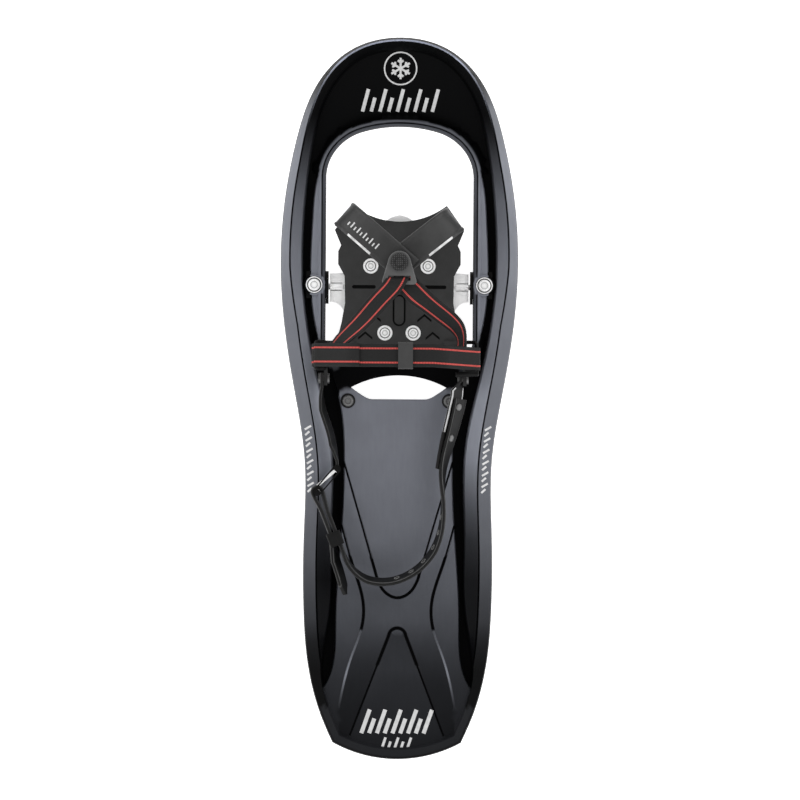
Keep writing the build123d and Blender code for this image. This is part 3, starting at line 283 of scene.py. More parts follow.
# ---- Materials ----
class Shader:
    """A node material with short helpers."""

    def __init__(self, name):
        self.material = bpy.data.materials.new(name)
        self.material.use_nodes = True
        self.tree = self.material.node_tree
        self.tree.nodes.clear()
        self.bsdf = self.add("ShaderNodeBsdfPrincipled")
        output = self.add("ShaderNodeOutputMaterial")
        self.link(self.bsdf.outputs[0], output.inputs["Surface"])
        self.coords = self.add("ShaderNodeTexCoord").outputs["Object"]

    def add(self, kind, **settings):
        node = self.tree.nodes.new(kind)
        for key, value in settings.items():
            setattr(node, key, value)
        return node

    def link(self, source, target):
        self.tree.links.new(source, target)

    def maths(self, operation, a, b=0.0):
        node = self.add("ShaderNodeMath", operation=operation)
        for socket, value in zip(node.inputs, (a, b)):
            if isinstance(value, (int, float)):
                socket.default_value = value
            else:
                self.link(value, socket)
        return node.outputs[0]

    def noise(self, scale, detail=3.0, stretch=(1, 1, 1)):
        mapping = self.add("ShaderNodeMapping")
        mapping.inputs["Scale"].default_value = stretch
        self.link(self.coords, mapping.inputs["Vector"])
        node = self.add("ShaderNodeTexNoise")
        node.inputs["Scale"].default_value = scale
        node.inputs["Detail"].default_value = detail
        self.link(mapping.outputs[0], node.inputs["Vector"])
        return node.outputs["Fac"]

    def span(self, value, low, high):
        node = self.add("ShaderNodeMapRange")
        self.link(value, node.inputs["Value"])
        node.inputs["To Min"].default_value = low
        node.inputs["To Max"].default_value = high
        return node.outputs[0]

    def between(self, value, low, high):
        """One where the value lies between two limits, else none."""
        above, below = self.maths("GREATER_THAN", value, low), self.maths("LESS_THAN", value, high)
        return self.maths("MULTIPLY", above, below)

    def split(self, vector):
        """The components of a vector."""
        node = self.add("ShaderNodeSeparateXYZ")
        self.link(vector, node.inputs[0])
        return node.outputs

    def attribute(self, name):
        return self.add("ShaderNodeAttribute", attribute_name=name).outputs["Fac"]

    def mix(self, factor, a, b):
        node = self.add("ShaderNodeMix", data_type="RGBA")
        self.link(factor, node.inputs[0])
        for socket, value in ((node.inputs[6], a), (node.inputs[7], b)):
            if isinstance(value, tuple):
                socket.default_value = (*value, 1)
            else:
                self.link(value, socket)
        return node.outputs[2]

    def grey(self, value):
        node = self.add("ShaderNodeCombineColor")
        for socket in node.inputs:
            self.link(value, socket)
        return node.outputs[0]

    def tint(self, value, tints):
        """A grey from a value, tinted channel by channel."""
        node = self.add("ShaderNodeCombineColor")
        for socket, factor in zip(node.inputs, tints):
            self.link(self.maths("MULTIPLY", value, factor), socket)
        return node.outputs[0]

    def bump(self, height, distance, strength=1.0):
        node = self.add("ShaderNodeBump")
        node.inputs["Strength"].default_value = strength
        node.inputs["Distance"].default_value = distance * MM
        self.link(height, node.inputs["Height"])
        self.link(node.outputs[0], self.bsdf.inputs["Normal"])

    def set(self, **values):
        for key, value in values.items():
            socket = self.bsdf.inputs[key.replace("_", " ")]
            if isinstance(value, (int, float)):
                socket.default_value = value
            elif isinstance(value, tuple):
                socket.default_value = (*value, 1)
            else:
                self.link(value, socket)
        return self


def linear(grey):
    """Linear reflectance of a display grey from 0 to 255."""
    value = np.asarray(grey, float) / 255
    return np.where(value < 0.04045, value / 12.92, ((value + 0.055) / 1.055)**2.4)


# How much the studio light brightens a matt surface that faces up. A tone is its display grey over this.
LIGHT = 1.5


def deck_material():
    """Moulded plastic: a per-point tone, with light and shade painted into it, with faint mottling and a fine
    grain.
    """
    s = Shader("deck_plastic")
    tone = s.maths("MULTIPLY", s.attribute("tone"), s.span(s.noise(35, 4), 0.86, 1.14))
    streaks = s.span(s.noise(60, 3, (6, 1, 1)), 0.93, 1.07)
    shade = s.maths("MULTIPLY", tone, streaks)
    s.set(Base_Color=s.tint(shade, (0.925, 0.97, 1.12)))
    s.set(Roughness=s.span(s.noise(400, 2), 0.4, 0.55))
    s.set(Specular_IOR_Level=s.span(s.maths("MULTIPLY", tone, 8.0), 0.03, 0.22))
    s.bump(s.noise(1500, 2), 0.05, 0.35)
    return s.material


def moulded(name, grey, rough, grain=900, shine=0.12, painted_shade_below=None):
    """Black moulded rubber or plastic; recesses below a height may be painted black, as painted shade."""
    s = Shader(name)
    base = float(linear(grey)) / LIGHT
    shade = s.span(s.noise(90, 4), base * 0.8, base * 1.25)
    # Painted shade: everything below the height is made black.
    if painted_shade_below is not None:
        shade = s.maths("MULTIPLY", shade, s.maths("GREATER_THAN", s.split(s.coords)["Z"], painted_shade_below * MM))
    s.set(Base_Color=s.grey(shade))
    s.set(Roughness=s.span(s.noise(grain / 3, 2), rough - 0.06, rough + 0.08), Specular_IOR_Level=shine)
    s.bump(s.noise(grain, 3), 0.08, 0.4)
    return s.material


def knurled(name, grey, pitch):
    """Moulded cap with a diamond knurl, with painted shade in its valleys and a painted highlight on its
    tops.
    """
    s = Shader(name)
    base = float(linear(grey)) / LIGHT
    x, y = s.split(s.coords)["X"], s.split(s.coords)["Y"]
    turn = 2 * math.pi / (pitch * MM)
    waves = [s.maths("SINE", s.maths("MULTIPLY", s.maths(way, x, y), turn)) for way in ("ADD", "SUBTRACT")]
    diamonds = s.maths("MULTIPLY", *waves)
    # Painted shade and highlight: the knurl's valleys are darker and its tops lighter in colour, following
    # the bump.
    shade = s.maths("MULTIPLY", s.span(diamonds, 0.3, 1.7), s.span(s.noise(200, 3), base * 0.7, base * 1.3))
    s.set(Base_Color=s.grey(shade), Roughness=s.span(s.noise(300, 2), 0.3, 0.45), Specular_IOR_Level=0.3)
    s.bump(diamonds, 0.25, 0.5)
    return s.material


def steel(name, grey, rough, brush=(1, 1, 1), metal=0.45, under=1.0):
    """Bare steel with a brushed grain and small stains; faces that look down or sideways may be painted
    darker, as painted shade.
    """
    s = Shader(name)
    base = float(linear(grey))
    shade = s.span(s.noise(120, 4), base * 0.8, base * 1.1)
    # Painted shade: faces that look down or sideways are darkened by their facing.
    if under < 1:
        facing = s.split(s.add("ShaderNodeTexCoord").outputs["Normal"])["Z"]
        shade = s.maths("MULTIPLY", shade, s.span(facing, under, 1.0))
    s.set(Base_Color=s.grey(shade), Metallic=metal)
    s.set(Roughness=s.span(s.noise(500, 3, brush), rough - 0.08, rough + 0.12))
    s.bump(s.noise(1200, 2, brush), 0.03, 0.5)
    return s.material


def band_material(name, grey, edge_grey, edge, reach):
    """Black moulded band with a painted highlight along its edge over part of its length."""
    s = Shader(name)
    base, light = float(linear(grey)) / LIGHT, float(linear(edge_grey)) / LIGHT
    across, along = s.attribute("across"), s.attribute("along")
    if edge[0] > 0:
        across = s.maths("ABSOLUTE", across)
    # Painted highlight along the edge.
    lit = s.maths("MULTIPLY", s.between(across, *edge), s.between(along, *reach))
    glint = s.maths("MULTIPLY", lit, s.span(s.noise(160, 3), 0.2, 1.4))
    shade = s.maths("ADD", s.span(s.noise(90, 4), base * 0.75, base * 1.3), s.maths("MULTIPLY", glint, light))
    s.set(Base_Color=s.grey(shade), Roughness=s.span(s.noise(200, 2), 0.36, 0.5), Specular_IOR_Level=0.15)
    s.bump(s.noise(600, 3), 0.08, 0.4)
    return s.material


def head_material():
    """Plated rivet heads whose tone, with painted shade in it, is kept per point, with fine scratches."""
    s = Shader("rivet_steel")
    s.set(Base_Color=s.grey(s.maths("MULTIPLY", s.attribute("tone"), s.span(s.noise(500, 3), 0.8, 1.1))))
    s.set(Roughness=s.span(s.noise(800, 3), 0.2, 0.38), Metallic=0.1)
    s.bump(s.noise(1200, 2), 0.03, 0.4)
    return s.material


def webbing_material():
    """Black woven webbing with two red lines along it; the weave's ribs carry painted shade and highlight."""
    line_at, line_half, pick_pitch, end_pitch = 6.0, 0.72, 1.3, 1.6
    s = Shader("webbing")
    across, along = s.attribute("across"), s.attribute("along")
    from_line = s.maths("ABSOLUTE", s.maths("SUBTRACT", s.maths("ABSOLUTE", across), line_at))
    stripe = s.maths("LESS_THAN", from_line, line_half)
    picks = s.maths("SINE", s.maths("MULTIPLY", along, 2 * math.pi / pick_pitch))
    ends = s.maths("SINE", s.maths("MULTIPLY", across, 2 * math.pi / end_pitch))
    # Painted shade and highlight: the weave's ribs are darker and lighter in colour, following the bump.
    weave = s.span(s.maths("MULTIPLY", picks, ends), 0.6, 1.3)
    fibre = s.maths("MULTIPLY", weave, s.span(s.noise(700, 3), 0.75, 1.25))
    black = s.grey(s.maths("MULTIPLY", fibre, 0.011))
    # The red lines: a shaded and a lit red by turns along the picks, painted shade and highlight.
    red = s.mix(s.span(picks, 0.0, 1.0), (0.26, 0.03, 0.026), (0.66, 0.105, 0.09))
    s.set(Base_Color=s.mix(stripe, black, red), Roughness=0.8, Specular_IOR_Level=0.25)
    s.bump(s.maths("MULTIPLY", picks, ends), 0.12, 0.5)
    return s.material


def print_material():
    """Pale ink, slightly worn."""
    s = Shader("print_ink")
    s.set(Base_Color=s.grey(s.span(s.noise(300, 4), 0.35, 0.62)), Roughness=0.5)
    s.bump(s.noise(900, 2), 0.02, 0.3)
    return s.material


DECK = deck_material()
BLOCK = moulded("block_plastic", 12, 0.45)
# Platform: its slots and recesses below 39.2 mm are painted black as shade.
PLATFORM = moulded("moulded_rubber", 65, 0.5, 900, 0.12, 39.2)
# The edge grey of each band below is a painted highlight: under the wings, along the strap's borders and on
# the right tab's top edge.
HARNESS = band_material("harness_rubber", 60, 245, (-12.1, -10.2), (34, 62))
STRAP = band_material("strap_rubber", 24, 88, (6.3, 6.9), (0, 2000))
TAB = band_material("tab_rubber", 30, 250, (5.6, 7.1), (12, 52))
EYELET = moulded("eyelet_rubber", 125, 0.4)
BUCKLE = moulded("buckle_plastic", 72, 0.3, 1200, 0.3)
KNURL = knurled("knurled_cap", 66, 3.4)
FRAME = moulded("buckle_frame", 100, 0.35, 1200, 0.3)
TRACTION = steel("traction_steel", 170, 0.4, (1, 8, 1))
# Toe crampon: its near-white base is a painted highlight, and its faces that look down or sideways are
# painted shade.
CRAMPON = steel("crampon_steel", 255, 0.3, (8, 1, 1), 0.05, 0.3)
BRIGHT = steel("bright_steel", 252, 0.25, (1, 1, 1), 0.1)
DULL = steel("dull_steel", 105, 0.35)
HEAD = head_material()
WEBBING = webbing_material()
INK = print_material()

# ---- Deck ----
# The rocker's start, length and rise at each end, and the tail edges' sag between their corners.
NOSE_START, NOSE_REACH, NOSE_RISE = 120.0, 185.0, 45.0
TAIL_START, TAIL_REACH, TAIL_RISE = -190.0, 115.0, 12.0
OUTLINE_SAG, INNER_SAG, SOLID_TAIL_Y = 14.0, 12.0, -205.0
# Heights before the rocker lifts them, and how far in from an edge the section changes.
RAIL_FOOT, FLOOR_LOW, FLOOR, PANEL, RIM = 16.0, 24.0, 28.0, 36.0, 38.0
EDGE, EDGE_LOW, BEVEL_LOW, BEVEL_RISE = 0.8, 30.0, 33.0, 8.0
SLOPE_LOW, SLOPE_RISE, CREST_WIDTH, WALL_RUN, PANEL_RUN = 37.0, 4.8, 1.7, 2.2, 1.4
CREST = (0, 0.5, 1.1, CREST_WIDTH), (41, 39.4, 39.4, 41.8)
TOE_STEPS = (0, 0.8, 2.4, 3.2, 3.6, 4.2, 5.6, 7.2, 7.3)
TOE_HEIGHTS = (35.5, 38, 38.8, 38, 37, RIM, RIM, PANEL, 0)
LINE_DEPTH, RIDGE_HEIGHT, TOE_BACK_Y, TOE_BACK_HALF = 1.3, 0.7, 31.0, 56.0
WALL, WALL_FACE, PAST_WALL, HOLLOW_TOP, PANEL_THICK, DECK_HALF = 3.0, 3.3, 3.6, 38.5, 4.0, 90.0
RIVET_X, RIVET_Y, BOSS = 72.3, 95.4, 9.5
# Right half of each plan line: the edge, the rail's inner foot and the raised panel.
OUTLINE_SIDE = (
    (54.5, -293), (63, -274), (76.4, -223), (79.8, -180), (80, -120), (79.5, -55),
    (90.4, 15), (100.4, 95), (97.6, 168), (88.2, 218), (68.3, 269), (41, 295), (0, 305),
)
RAIL_INNER_SIDE = (
    (49, -287), (57, -268), (65, -232), (58.8, -185), (57.6, -115), (58, -45),
    (72.5, 25), (83, 95), (82.5, 155), (76, 212), (61, 260), (36, 287), (0, 296),
)
PLATEAU_SIDE = (
    (5, 236), (22, 235.2), (42, 229.5), (57, 215), (66, 200), (71.5, 182), (74.5, 150), (76, 115),
    (69, 50), (51.5, 0), (46.5, -53), (48.3, -110), (53, -189), (59.5, -240), (76, -262),
)


def deck_loop(side, sag):
    """Closed plan loop: a spline round the nose from tail corner to tail corner and a shallow arc."""
    around = smooth_line(list(side) + [(-x, y) for x, y in reversed(side) if x > 0], 3.0)
    tail = three_point_arc(around[-1], (0, side[0][1] - sag), around[0], 3.0)
    return join(around, tail[1:-1])


def toe_opening_loop():
    """The big opening under the toes: arched front, round shoulders, straight sides."""
    front, heading = tangent_arc((0, 229.6), (1, 0), (32, 225))
    shoulder, heading = tangent_arc((32, 225), heading, (54.2, 210))
    lower, _ = tangent_arc((54.2, 210), heading, (62.5, 187))
    corner, _ = tangent_arc((62.5, 48), (0, -1), (44.5, 30))
    half = join(front, shoulder, lower, straight((62.5, 187), (62.5, 48), 3), corner,
                straight((44.5, 30), (0, 30), 3))
    return join(half, mirrored(half))[:-1][::-1]


def lens_loop():
    """The lens-shaped opening behind the foot."""
    top = three_point_arc((40.4, 8.5), (0, 18.7), (-40.4, 8.5))
    side = smooth_line(((-40.4, 8.5), (-31.5, 2.2), (-22, -1.5)), 1.5, (0.8, -0.6), (1, 0))
    return join(top, side, straight((-22, -1.5), (22, -1.5)), mirrored(side))[:-1]


OUTLINE = deck_loop(OUTLINE_SIDE, OUTLINE_SAG)
RAIL_INNER = deck_loop(RAIL_INNER_SIDE, INNER_SAG)
TOE = toe_opening_loop()
LENS = lens_loop()
plateau_half = join(smooth_line(PLATEAU_SIDE, 3.0), [(76, -315)])
PLATEAU = join(plateau_half, mirrored(plateau_half))[::-1]
PANEL_V = smooth_line(((17, -155), (11.8, -164), (0, -170), (-11.8, -164), (-17, -155)), 1.5)
PANEL_V = join(straight((46, -55), (17, -155), 2), PANEL_V, straight((-17, -155), (-46, -55), 2))
HOURGLASS = smooth_line(((47.6, -109), (38, -143), (29, -175), (29.5, -192), (39, -221), (49, -262)))
TAIL_V = join(straight((39.7, -287), (7.2, -202)),
              three_point_arc((7.2, -202), (0, -195.7), (-7.2, -202), 1.2),
              straight((-7.2, -202), (-39.7, -287)))
WAIST_Y = -197.0
UPPER_WAIST, LOWER_WAIST = HOURGLASS[HOURGLASS[:, 1] >= WAIST_Y], HOURGLASS[HOURGLASS[:, 1] < WAIST_Y]
# Moulded lines: each has a half width, which is divided by a taper that changes from one Y to another.
GROOVES = (
    (PANEL_V, 1.5, (-170, -55), (1.0, 1.5)),
    (UPPER_WAIST, 1.6, (-197, -109), (1.0, 1.3)),
    (mirrored(UPPER_WAIST), 1.6, (-197, -109), (1.0, 1.3)),
    (TAIL_V, 1.9, (-287, -196), (2.2, 1.0)),
)
RIDGES = (LOWER_WAIST, mirrored(LOWER_WAIST))


def groove_depth(p):
    """How deep each point lies in the moulded lines, from none to one, with lines that taper."""
    depth = np.zeros(len(p))
    for line, half, places, taper in GROOVES:
        reach = away(p, line) * np.interp(p[:, 1], places, taper)
        depth = np.maximum(depth, np.interp(reach, (0.5, half), (1, 0)))
    return depth


def bevel_width(y):
    """Width of the rail's outer bevel: broad at the heel, narrower beside the toes, least at the tip."""
    return np.interp(y, (-305, 60, 110, 200, 250, 285, 305), (10.5, 10.5, 7.2, 6.5, 4.5, 2.2, 1.6))


def rocker(y):
    """Rise of the deck at the nose and the tail."""
    def lift(run, reach, rise):
        radius = (reach**2 + rise**2) / (2 * rise)
        return radius - np.sqrt(radius**2 - np.clip(run, 0, reach + 5)**2)
    return lift(y - NOSE_START, NOSE_REACH, NOSE_RISE) + lift(TAIL_START - y, TAIL_REACH, TAIL_RISE)


def deck_places(p):
    """Distances that the deck's section depends on, for each plan point."""
    return {
        "edge": depth_in(p, OUTLINE), "rail": -depth_in(p, RAIL_INNER), "panel": depth_in(p, PLATEAU),
        "toe": -depth_in(p, TOE), "lens": -depth_in(p, LENS),
        "boss": np.hypot(np.abs(p[:, 0]) - RIVET_X, p[:, 1] - RIVET_Y),
    }


def deck_top(p):
    """Upper surface of the deck."""
    d = deck_places(p)
    y = p[:, 1]
    bevel = bevel_width(y)
    past = d["edge"] - bevel
    edge = EDGE_LOW + (BEVEL_LOW - EDGE_LOW) * d["edge"] / EDGE
    outer = np.where(d["edge"] < EDGE, edge, BEVEL_LOW + BEVEL_RISE * (d["edge"] - EDGE) / (bevel - EDGE))
    across_slope = np.clip(d["rail"] / np.maximum(d["rail"] + past - CREST_WIDTH, 0.01), 0, 1)
    slope = SLOPE_LOW + SLOPE_RISE * across_slope
    rail = np.where(past < 0, outer, np.where(past < CREST_WIDTH, np.interp(past, *CREST), slope))
    wall = np.interp(-d["rail"], (0, WALL_RUN), (SLOPE_LOW, FLOOR))
    panel = np.interp(d["panel"], (0, PANEL_RUN), (FLOOR, PANEL))
    rim = np.where(y > TOE_BACK_Y, np.interp(d["toe"], TOE_STEPS, TOE_HEIGHTS), 0)
    boss = np.interp(d["boss"], (BOSS - EDGE, BOSS, BOSS + 0.1), (RIM, FLOOR, 0))
    middle = np.maximum.reduce([wall, np.where(d["rail"] < 0, panel, 0), rim, boss])
    middle = middle - LINE_DEPTH * groove_depth(p)
    for line in RIDGES:
        middle = middle + RIDGE_HEIGHT * np.interp(away(p, line), (0.2, 1.2), (1, 0))
    middle = np.where(d["lens"] < EDGE, middle - EDGE + d["lens"].clip(0), middle)
    return np.where(d["rail"] > -0.05, rail, middle) + rocker(y)


def deck_bottom(p):
    """Underside of the deck: hollow rails and a pocket under the panel, inside upright walls."""
    d = deck_places(p)
    y = p[:, 1]
    top = deck_top(p) - rocker(y)
    hollow = (np.minimum(d["edge"], d["rail"]) > WALL_FACE) & (y > SOLID_TAIL_Y)
    rail = np.where(hollow, np.minimum(top - WALL, HOLLOW_TOP), RAIL_FOOT)
    pocket = np.minimum.reduce([d["panel"], -d["rail"], d["toe"], d["lens"]]) > WALL_FACE
    middle = np.where(pocket, PANEL - PANEL_THICK, FLOOR_LOW)
    return np.where(d["rail"] > -0.05, rail, middle) + rocker(y)


def deck_tone_and_shade(p):
    """Tone of the deck, with light and shade painted in: pale rails and heel panel, black nose, black
    channels and grooves as painted shade, painted highlights on the ridges and along the nose's rail crease,
    and darkening toward the tail, painted shade where the rocker tilts it away.
    """
    d = deck_places(p)
    x, y = np.abs(p[:, 0]), p[:, 1]
    past = d["edge"] - bevel_width(y)
    # Bevel: darker toward the tail; behind Y -190, where the rocker tilts it away, this is painted shade.
    bevel = np.interp(y, (-290, -232, -207, -189, -155, -121, -55, 60, 200, 245, 270, 300),
                      (3, 5, 24, 50, 70, 89, 109, 117, 134, 104, 24, 6))
    # Slope: painted light makes it lighter where the studio light reaches it less, and painted shade darkens
    # it toward the tail.
    slope = np.interp(y, (-290, -155, -121, -53, -2, 100, 165, 205, 240),
                      (4, 22, 52, 158, 182, 134, 112, 60, 6))
    # Panel: darker toward the tail; behind Y -190, where the rocker tilts it away, this is painted shade.
    panel = np.interp(y, (-290, -240, -214, -189, -155, -121, -60, 0),
                      (31, 46, 62, 78, 96, 115, 127, 138))
    waist = np.interp(y, HOURGLASS[::-1, 1], HOURGLASS[::-1, 0])
    wedge = np.interp(-y, (196, 287), (4, 39.7))
    # Between the hourglass and the tail V, more painted shade darkens the panel where the rocker tilts it
    # away.
    rocker_shaded = np.interp(y, (-262, -225, -190), (0.72, 0.78, 1)) * panel
    panel = np.where((x < waist) & (x > wedge) & (y < -190), rocker_shaded, panel)
    panel = np.where((x < wedge) & (y < -200), np.minimum(panel, 51), panel)
    # The strip between the lens and the toe opening: black, painted shade.
    panel = np.where(y > 8.5 - 0.5 * np.clip(x - 40, 0, 40), 8, panel)
    # Moulded lines: black, painted shadow in the grooves.
    panel = np.where(groove_depth(p) > 0.35, 4, panel)
    # Ridges: a painted highlight along each.
    for line in RIDGES:
        panel = np.where(away(p, line) < 0.6, np.interp(y, (-262, -235, -200), (45, 135, 85)), panel)
    shoulder = np.interp(y, (20, 60, 175, 215, 236), (60, 146, 142, 96, 90))
    # Round the toe opening: painted shade on the lip's inner face and in the small groove, with the bead
    # between them lighter.
    rim = np.where(d["toe"] < 0.7, 12, np.where(d["toe"] < 2.9, 84, np.where(d["toe"] < 3.9, 8, shoulder)))
    # Outside the raised panel, in the channels and at the nose: black; in the channels this is painted shade.
    grey = np.where((d["panel"] > 0.7) & (y < TOE_BACK_Y), panel, 6.0)
    grey = np.where((d["panel"] > 0.7) & (y >= 24) & (y < 190) & (x > 50), rim, grey)
    grey = np.where((d["toe"] < 6.5) & (y > 160), rim, grey)
    ring = np.where(d["boss"] < 7.6, 60, np.where(x > 75.5, 6, shoulder))
    grey = np.where(d["boss"] < BOSS, ring, grey)
    # The crease between bevel and slope: painted shadow at the heel, a painted highlight toward the nose.
    groove = np.interp(y, (215, 250, 285), (6, 150, 250))
    rail = np.where(past < 0.2, bevel, np.where(past < 1.5, groove, slope))
    # Outer edge: painted shade on its steep face.
    rail = np.where(d["edge"] < 0.7, 10, rail)
    rail = np.where((y < -262) & (d["edge"] > 1.6), 33, rail)
    grey = np.where(d["rail"] > -0.2, rail, grey)
    return linear(grey) / LIGHT


def deck_region(p):
    """Inside the outline and outside both openings."""
    return inside(p, OUTLINE) & ~inside(p, TOE) & ~inside(p, LENS)


width_there = bevel_width(OUTLINE[:, 1])
deck_loops = [OUTLINE, TOE, LENS, RAIL_INNER, PLATEAU]
deck_loops += [shifted(OUTLINE, w) for w in (EDGE, WALL, PAST_WALL)]
deck_loops += [shifted(OUTLINE, width_there + w) for w in CREST[0]]
deck_loops += [shifted(RAIL_INNER, w) for w in (WALL_RUN, WALL, PAST_WALL, -WALL, -PAST_WALL)]
deck_loops += [shifted(PLATEAU, w) for w in (PANEL_RUN, WALL, PAST_WALL)]
deck_loops += [shifted(TOE, -w) for w in (EDGE, 2 * EDGE, *TOE_STEPS[2:-1])]
deck_loops += [shifted(LENS, -w) for w in (EDGE, WALL, PAST_WALL)]
deck_loops += [circle(side * RIVET_X, RIVET_Y, BOSS - w, 40) for side in (1, -1) for w in (0, EDGE, 1.7, 2.3)]
deck_lines = [beside(line, w * side) for line, half, *_ in GROOVES
              for w in (0.5, 1.0, half) for side in (1, -1)]
deck_lines += [beside(line, w) for line in RIDGES for w in (-1.2, -0.5, 0.5, 1.2)]
deck_lines += [np.array([(-half, y), (half, y)])
               for half, y in ((DECK_HALF, SOLID_TAIL_Y), (TOE_BACK_HALF, TOE_BACK_Y))]
shell = plate("deck_shell", deck_region, deck_loops, deck_lines, 4.0, deck_top, deck_bottom, 28, deck_tone_and_shade)
dress(shell, DECK, "deck", ["deck"])

# ---- Webbing ----
WEB_HALF, WEB_THICK = 9.75, 1.6
INSTEP_Y, INSTEP_TOP, INSTEP_FLAT, INSTEP_BEND, INSTEP_DRIFT = 35.5, 95.0, 38.0, 9.0, 2.5
DOUBLED_X, DOUBLED_SHIFT, LAYER_PLAY, FOLD_X = -33.0, 0.6, 0.15, 58.0
RING_LEFT, RING_RIGHT, RING_Z, RING_WIRE = -70.5, 65.7, 66.0, 1.6


def weave(along, across):
    """Low relief of the woven ribs."""
    ribs = np.sin(along * 2 * math.pi / 2.2) * np.cos(across * 2 * math.pi / 2.4)
    return 0.07 * ribs


def woven(name, centres, width, material=WEBBING, replaces=()):
    """A webbing band along a line, with one width direction or one for each point."""
    widths = np.broadcast_to(np.array(width, float), centres.shape)
    band = ribbon(name, centres, widths, WEB_HALF, WEB_THICK, 32, weave)
    return dress(band, material, "binding", replaces)


def lacing(name, *stations):
    """A diagonal webbing from the buckle's slot to the side, through places and width directions."""
    places, widths = (np.array(column, float) for column in zip(*stations))
    widths = unit(widths) * WEB_HALF
    one, other = smooth_line(places + widths, 0.5), smooth_line(places - widths, 0.5)
    pick = np.linspace(0, 1, min(len(one), len(other)))
    one = one[np.round(pick * (len(one) - 1)).astype(int)]
    other = other[np.round(pick * (len(other) - 1)).astype(int)]
    return woven(name + "_woven", (one + other) / 2, one - other, replaces=[name])


lacing("lacing_webbing_left",
       ((-1.6, 101.2, 101.6), (-1, 0, 0)),
       ((-1.9, 100.2, 105.2), (-1, 0, 0)),
       ((-4.2, 96, 106.9), (-0.97, 0.24, 0)),
       ((-11.8, 87.3, 102), (-0.75, 0.66, 0)),
       ((-35, 61.5, 88), (-0.62, 0.55, -0.57)),
       ((-50.5, 46, 77), (-0.46, 0.38, -0.8)),
       ((-55, 40, 72), (-0.42, 0.34, -0.84)))
lacing("lacing_webbing_right",
       ((5.5, 97.3, 100.4), (0.6, 0.79, 0)),
       ((8, 94.5, 100), (0.6, 0.79, 0)),
       ((23, 81.2, 94.5), (0.5, 0.66, 0.5)),
       ((39.5, 68.5, 86.5), (0.52, 0.58, 0.62)),
       ((49.5, 59, 80), (0.56, 0.3, 0.77)),
       ((53, 50, 73), (0.42, 0, 0.9)),
       ((52.5, 40, 63), (0.4, 0, 0.92)))


def instep_path():
    """Side view of the instep webbing, from the end under the left ring bar to the right one."""
    halves = []
    for bar_x, corner_x in ((RING_LEFT, -INSTEP_FLAT), (RING_RIGHT, INSTEP_FLAT)):
        side = math.copysign(1, bar_x)
        corner, bar = np.array([corner_x, INSTEP_TOP]), np.array([bar_x, RING_Z])
        run = unit(corner - bar)
        out = np.array([-run[1], run[0]]) * -side * (RING_WIRE + WEB_THICK / 2 + 0.2)
        bend, _ = tangent_arc(corner - (side * INSTEP_BEND, 0), (side, 0), corner - run * 8, 0.6)
        wrap = three_point_arc(bar + out, bar - run * np.linalg.norm(out), bar - out, 0.5)
        tail = straight(bar - out, bar - out + run * 9, 0.6)
        halves.append(join(bend, straight(bend[-1], bar + out, 0.6), wrap, tail))
    crown = straight(halves[0][0], halves[1][0], 0.6)
    return join(halves[0][::-1], crown[1:-1], halves[1])


path = instep_path()
drift = np.interp(path[:, 0], (INSTEP_FLAT - INSTEP_BEND, RING_RIGHT), (INSTEP_Y, INSTEP_Y - INSTEP_DRIFT))
woven("instep_webbing_woven", np.column_stack([path[:, 0], drift, path[:, 1]]), (0, 1, 0),
      replaces=["instep_webbing"])

inner = beside(path[(path[:, 0] < DOUBLED_X) & (path[:, 1] > RING_Z + 3)], WEB_THICK + LAYER_PLAY)
level = np.full(len(inner), INSTEP_Y + DOUBLED_SHIFT)
woven("instep_webbing_doubled", np.column_stack([inner[:, 0], level, inner[:, 1]]), (0, 1, 0))

fold = smooth_line(((22, 72.5), (20, 72.8), (18.6, 70.6), (20, 68.2), (22.2, 67.8)), 0.6)
woven("instep_webbing_tail", np.column_stack([np.full(len(fold), FOLD_X), fold]), (1, 0.06, 0), BLOCK)

# ---- Harness wings ----
CAP_Y, WING_THICK, WING_HALF, PLATFORM_TOP = 114.5, 3.0, 12.5, 39.5
RIGHT_CROWN, RIGHT_REACH = 98.0, 58.8
LEFT_CROWN, LEFT_REACH = 101.3, 61.3
FLAT_BACK, FLAT_FRONT = -11, 15


def wing_relief(along, across):
    """Raised hems along both edges of a wing."""
    return 0.55 * np.interp(np.abs(across), (9.2, 9.9, 11.4, 12.2), (0, 1, 1, 0)) + 0 * along


def wing_profile(crown, reach):
    """Side view of a wing: flat over the toes, then down to the platform's front corner."""
    back, front = (FLAT_BACK, crown), (FLAT_FRONT, crown)
    fall = front, (44, crown - 11), (reach - 0.8, crown - 36), (reach, PLATFORM_TOP + 0.3)
    return join(straight(back, front, 1.0), smooth_line(fall, 1.0, (1, 0), (0, -1)))


def wing(name, side, crown, direction, reach):
    """One harness band along a plan direction."""
    along = np.array([side * direction[0], direction[1], 0])
    profile = wing_profile(crown, reach)
    centres = np.array([0, CAP_Y, 0]) + profile[:, :1] * along + profile[:, 1:] * np.array([0, 0, 1.0])
    across = np.tile((-side * along[1], side * along[0], 0), (len(centres), 1))
    band = ribbon(name + "_band", centres, across, WING_HALF, WING_THICK, 30, wing_relief, 40)
    return dress(band, HARNESS, "binding", [name])


LEFT_WING, RIGHT_WING = unit((0.755, 0.656)), unit((0.78, 0.62))
wing("harness_wing_right", 1, RIGHT_CROWN, RIGHT_WING, RIGHT_REACH)
wing("harness_wing_left", -1, LEFT_CROWN, LEFT_WING, LEFT_REACH)

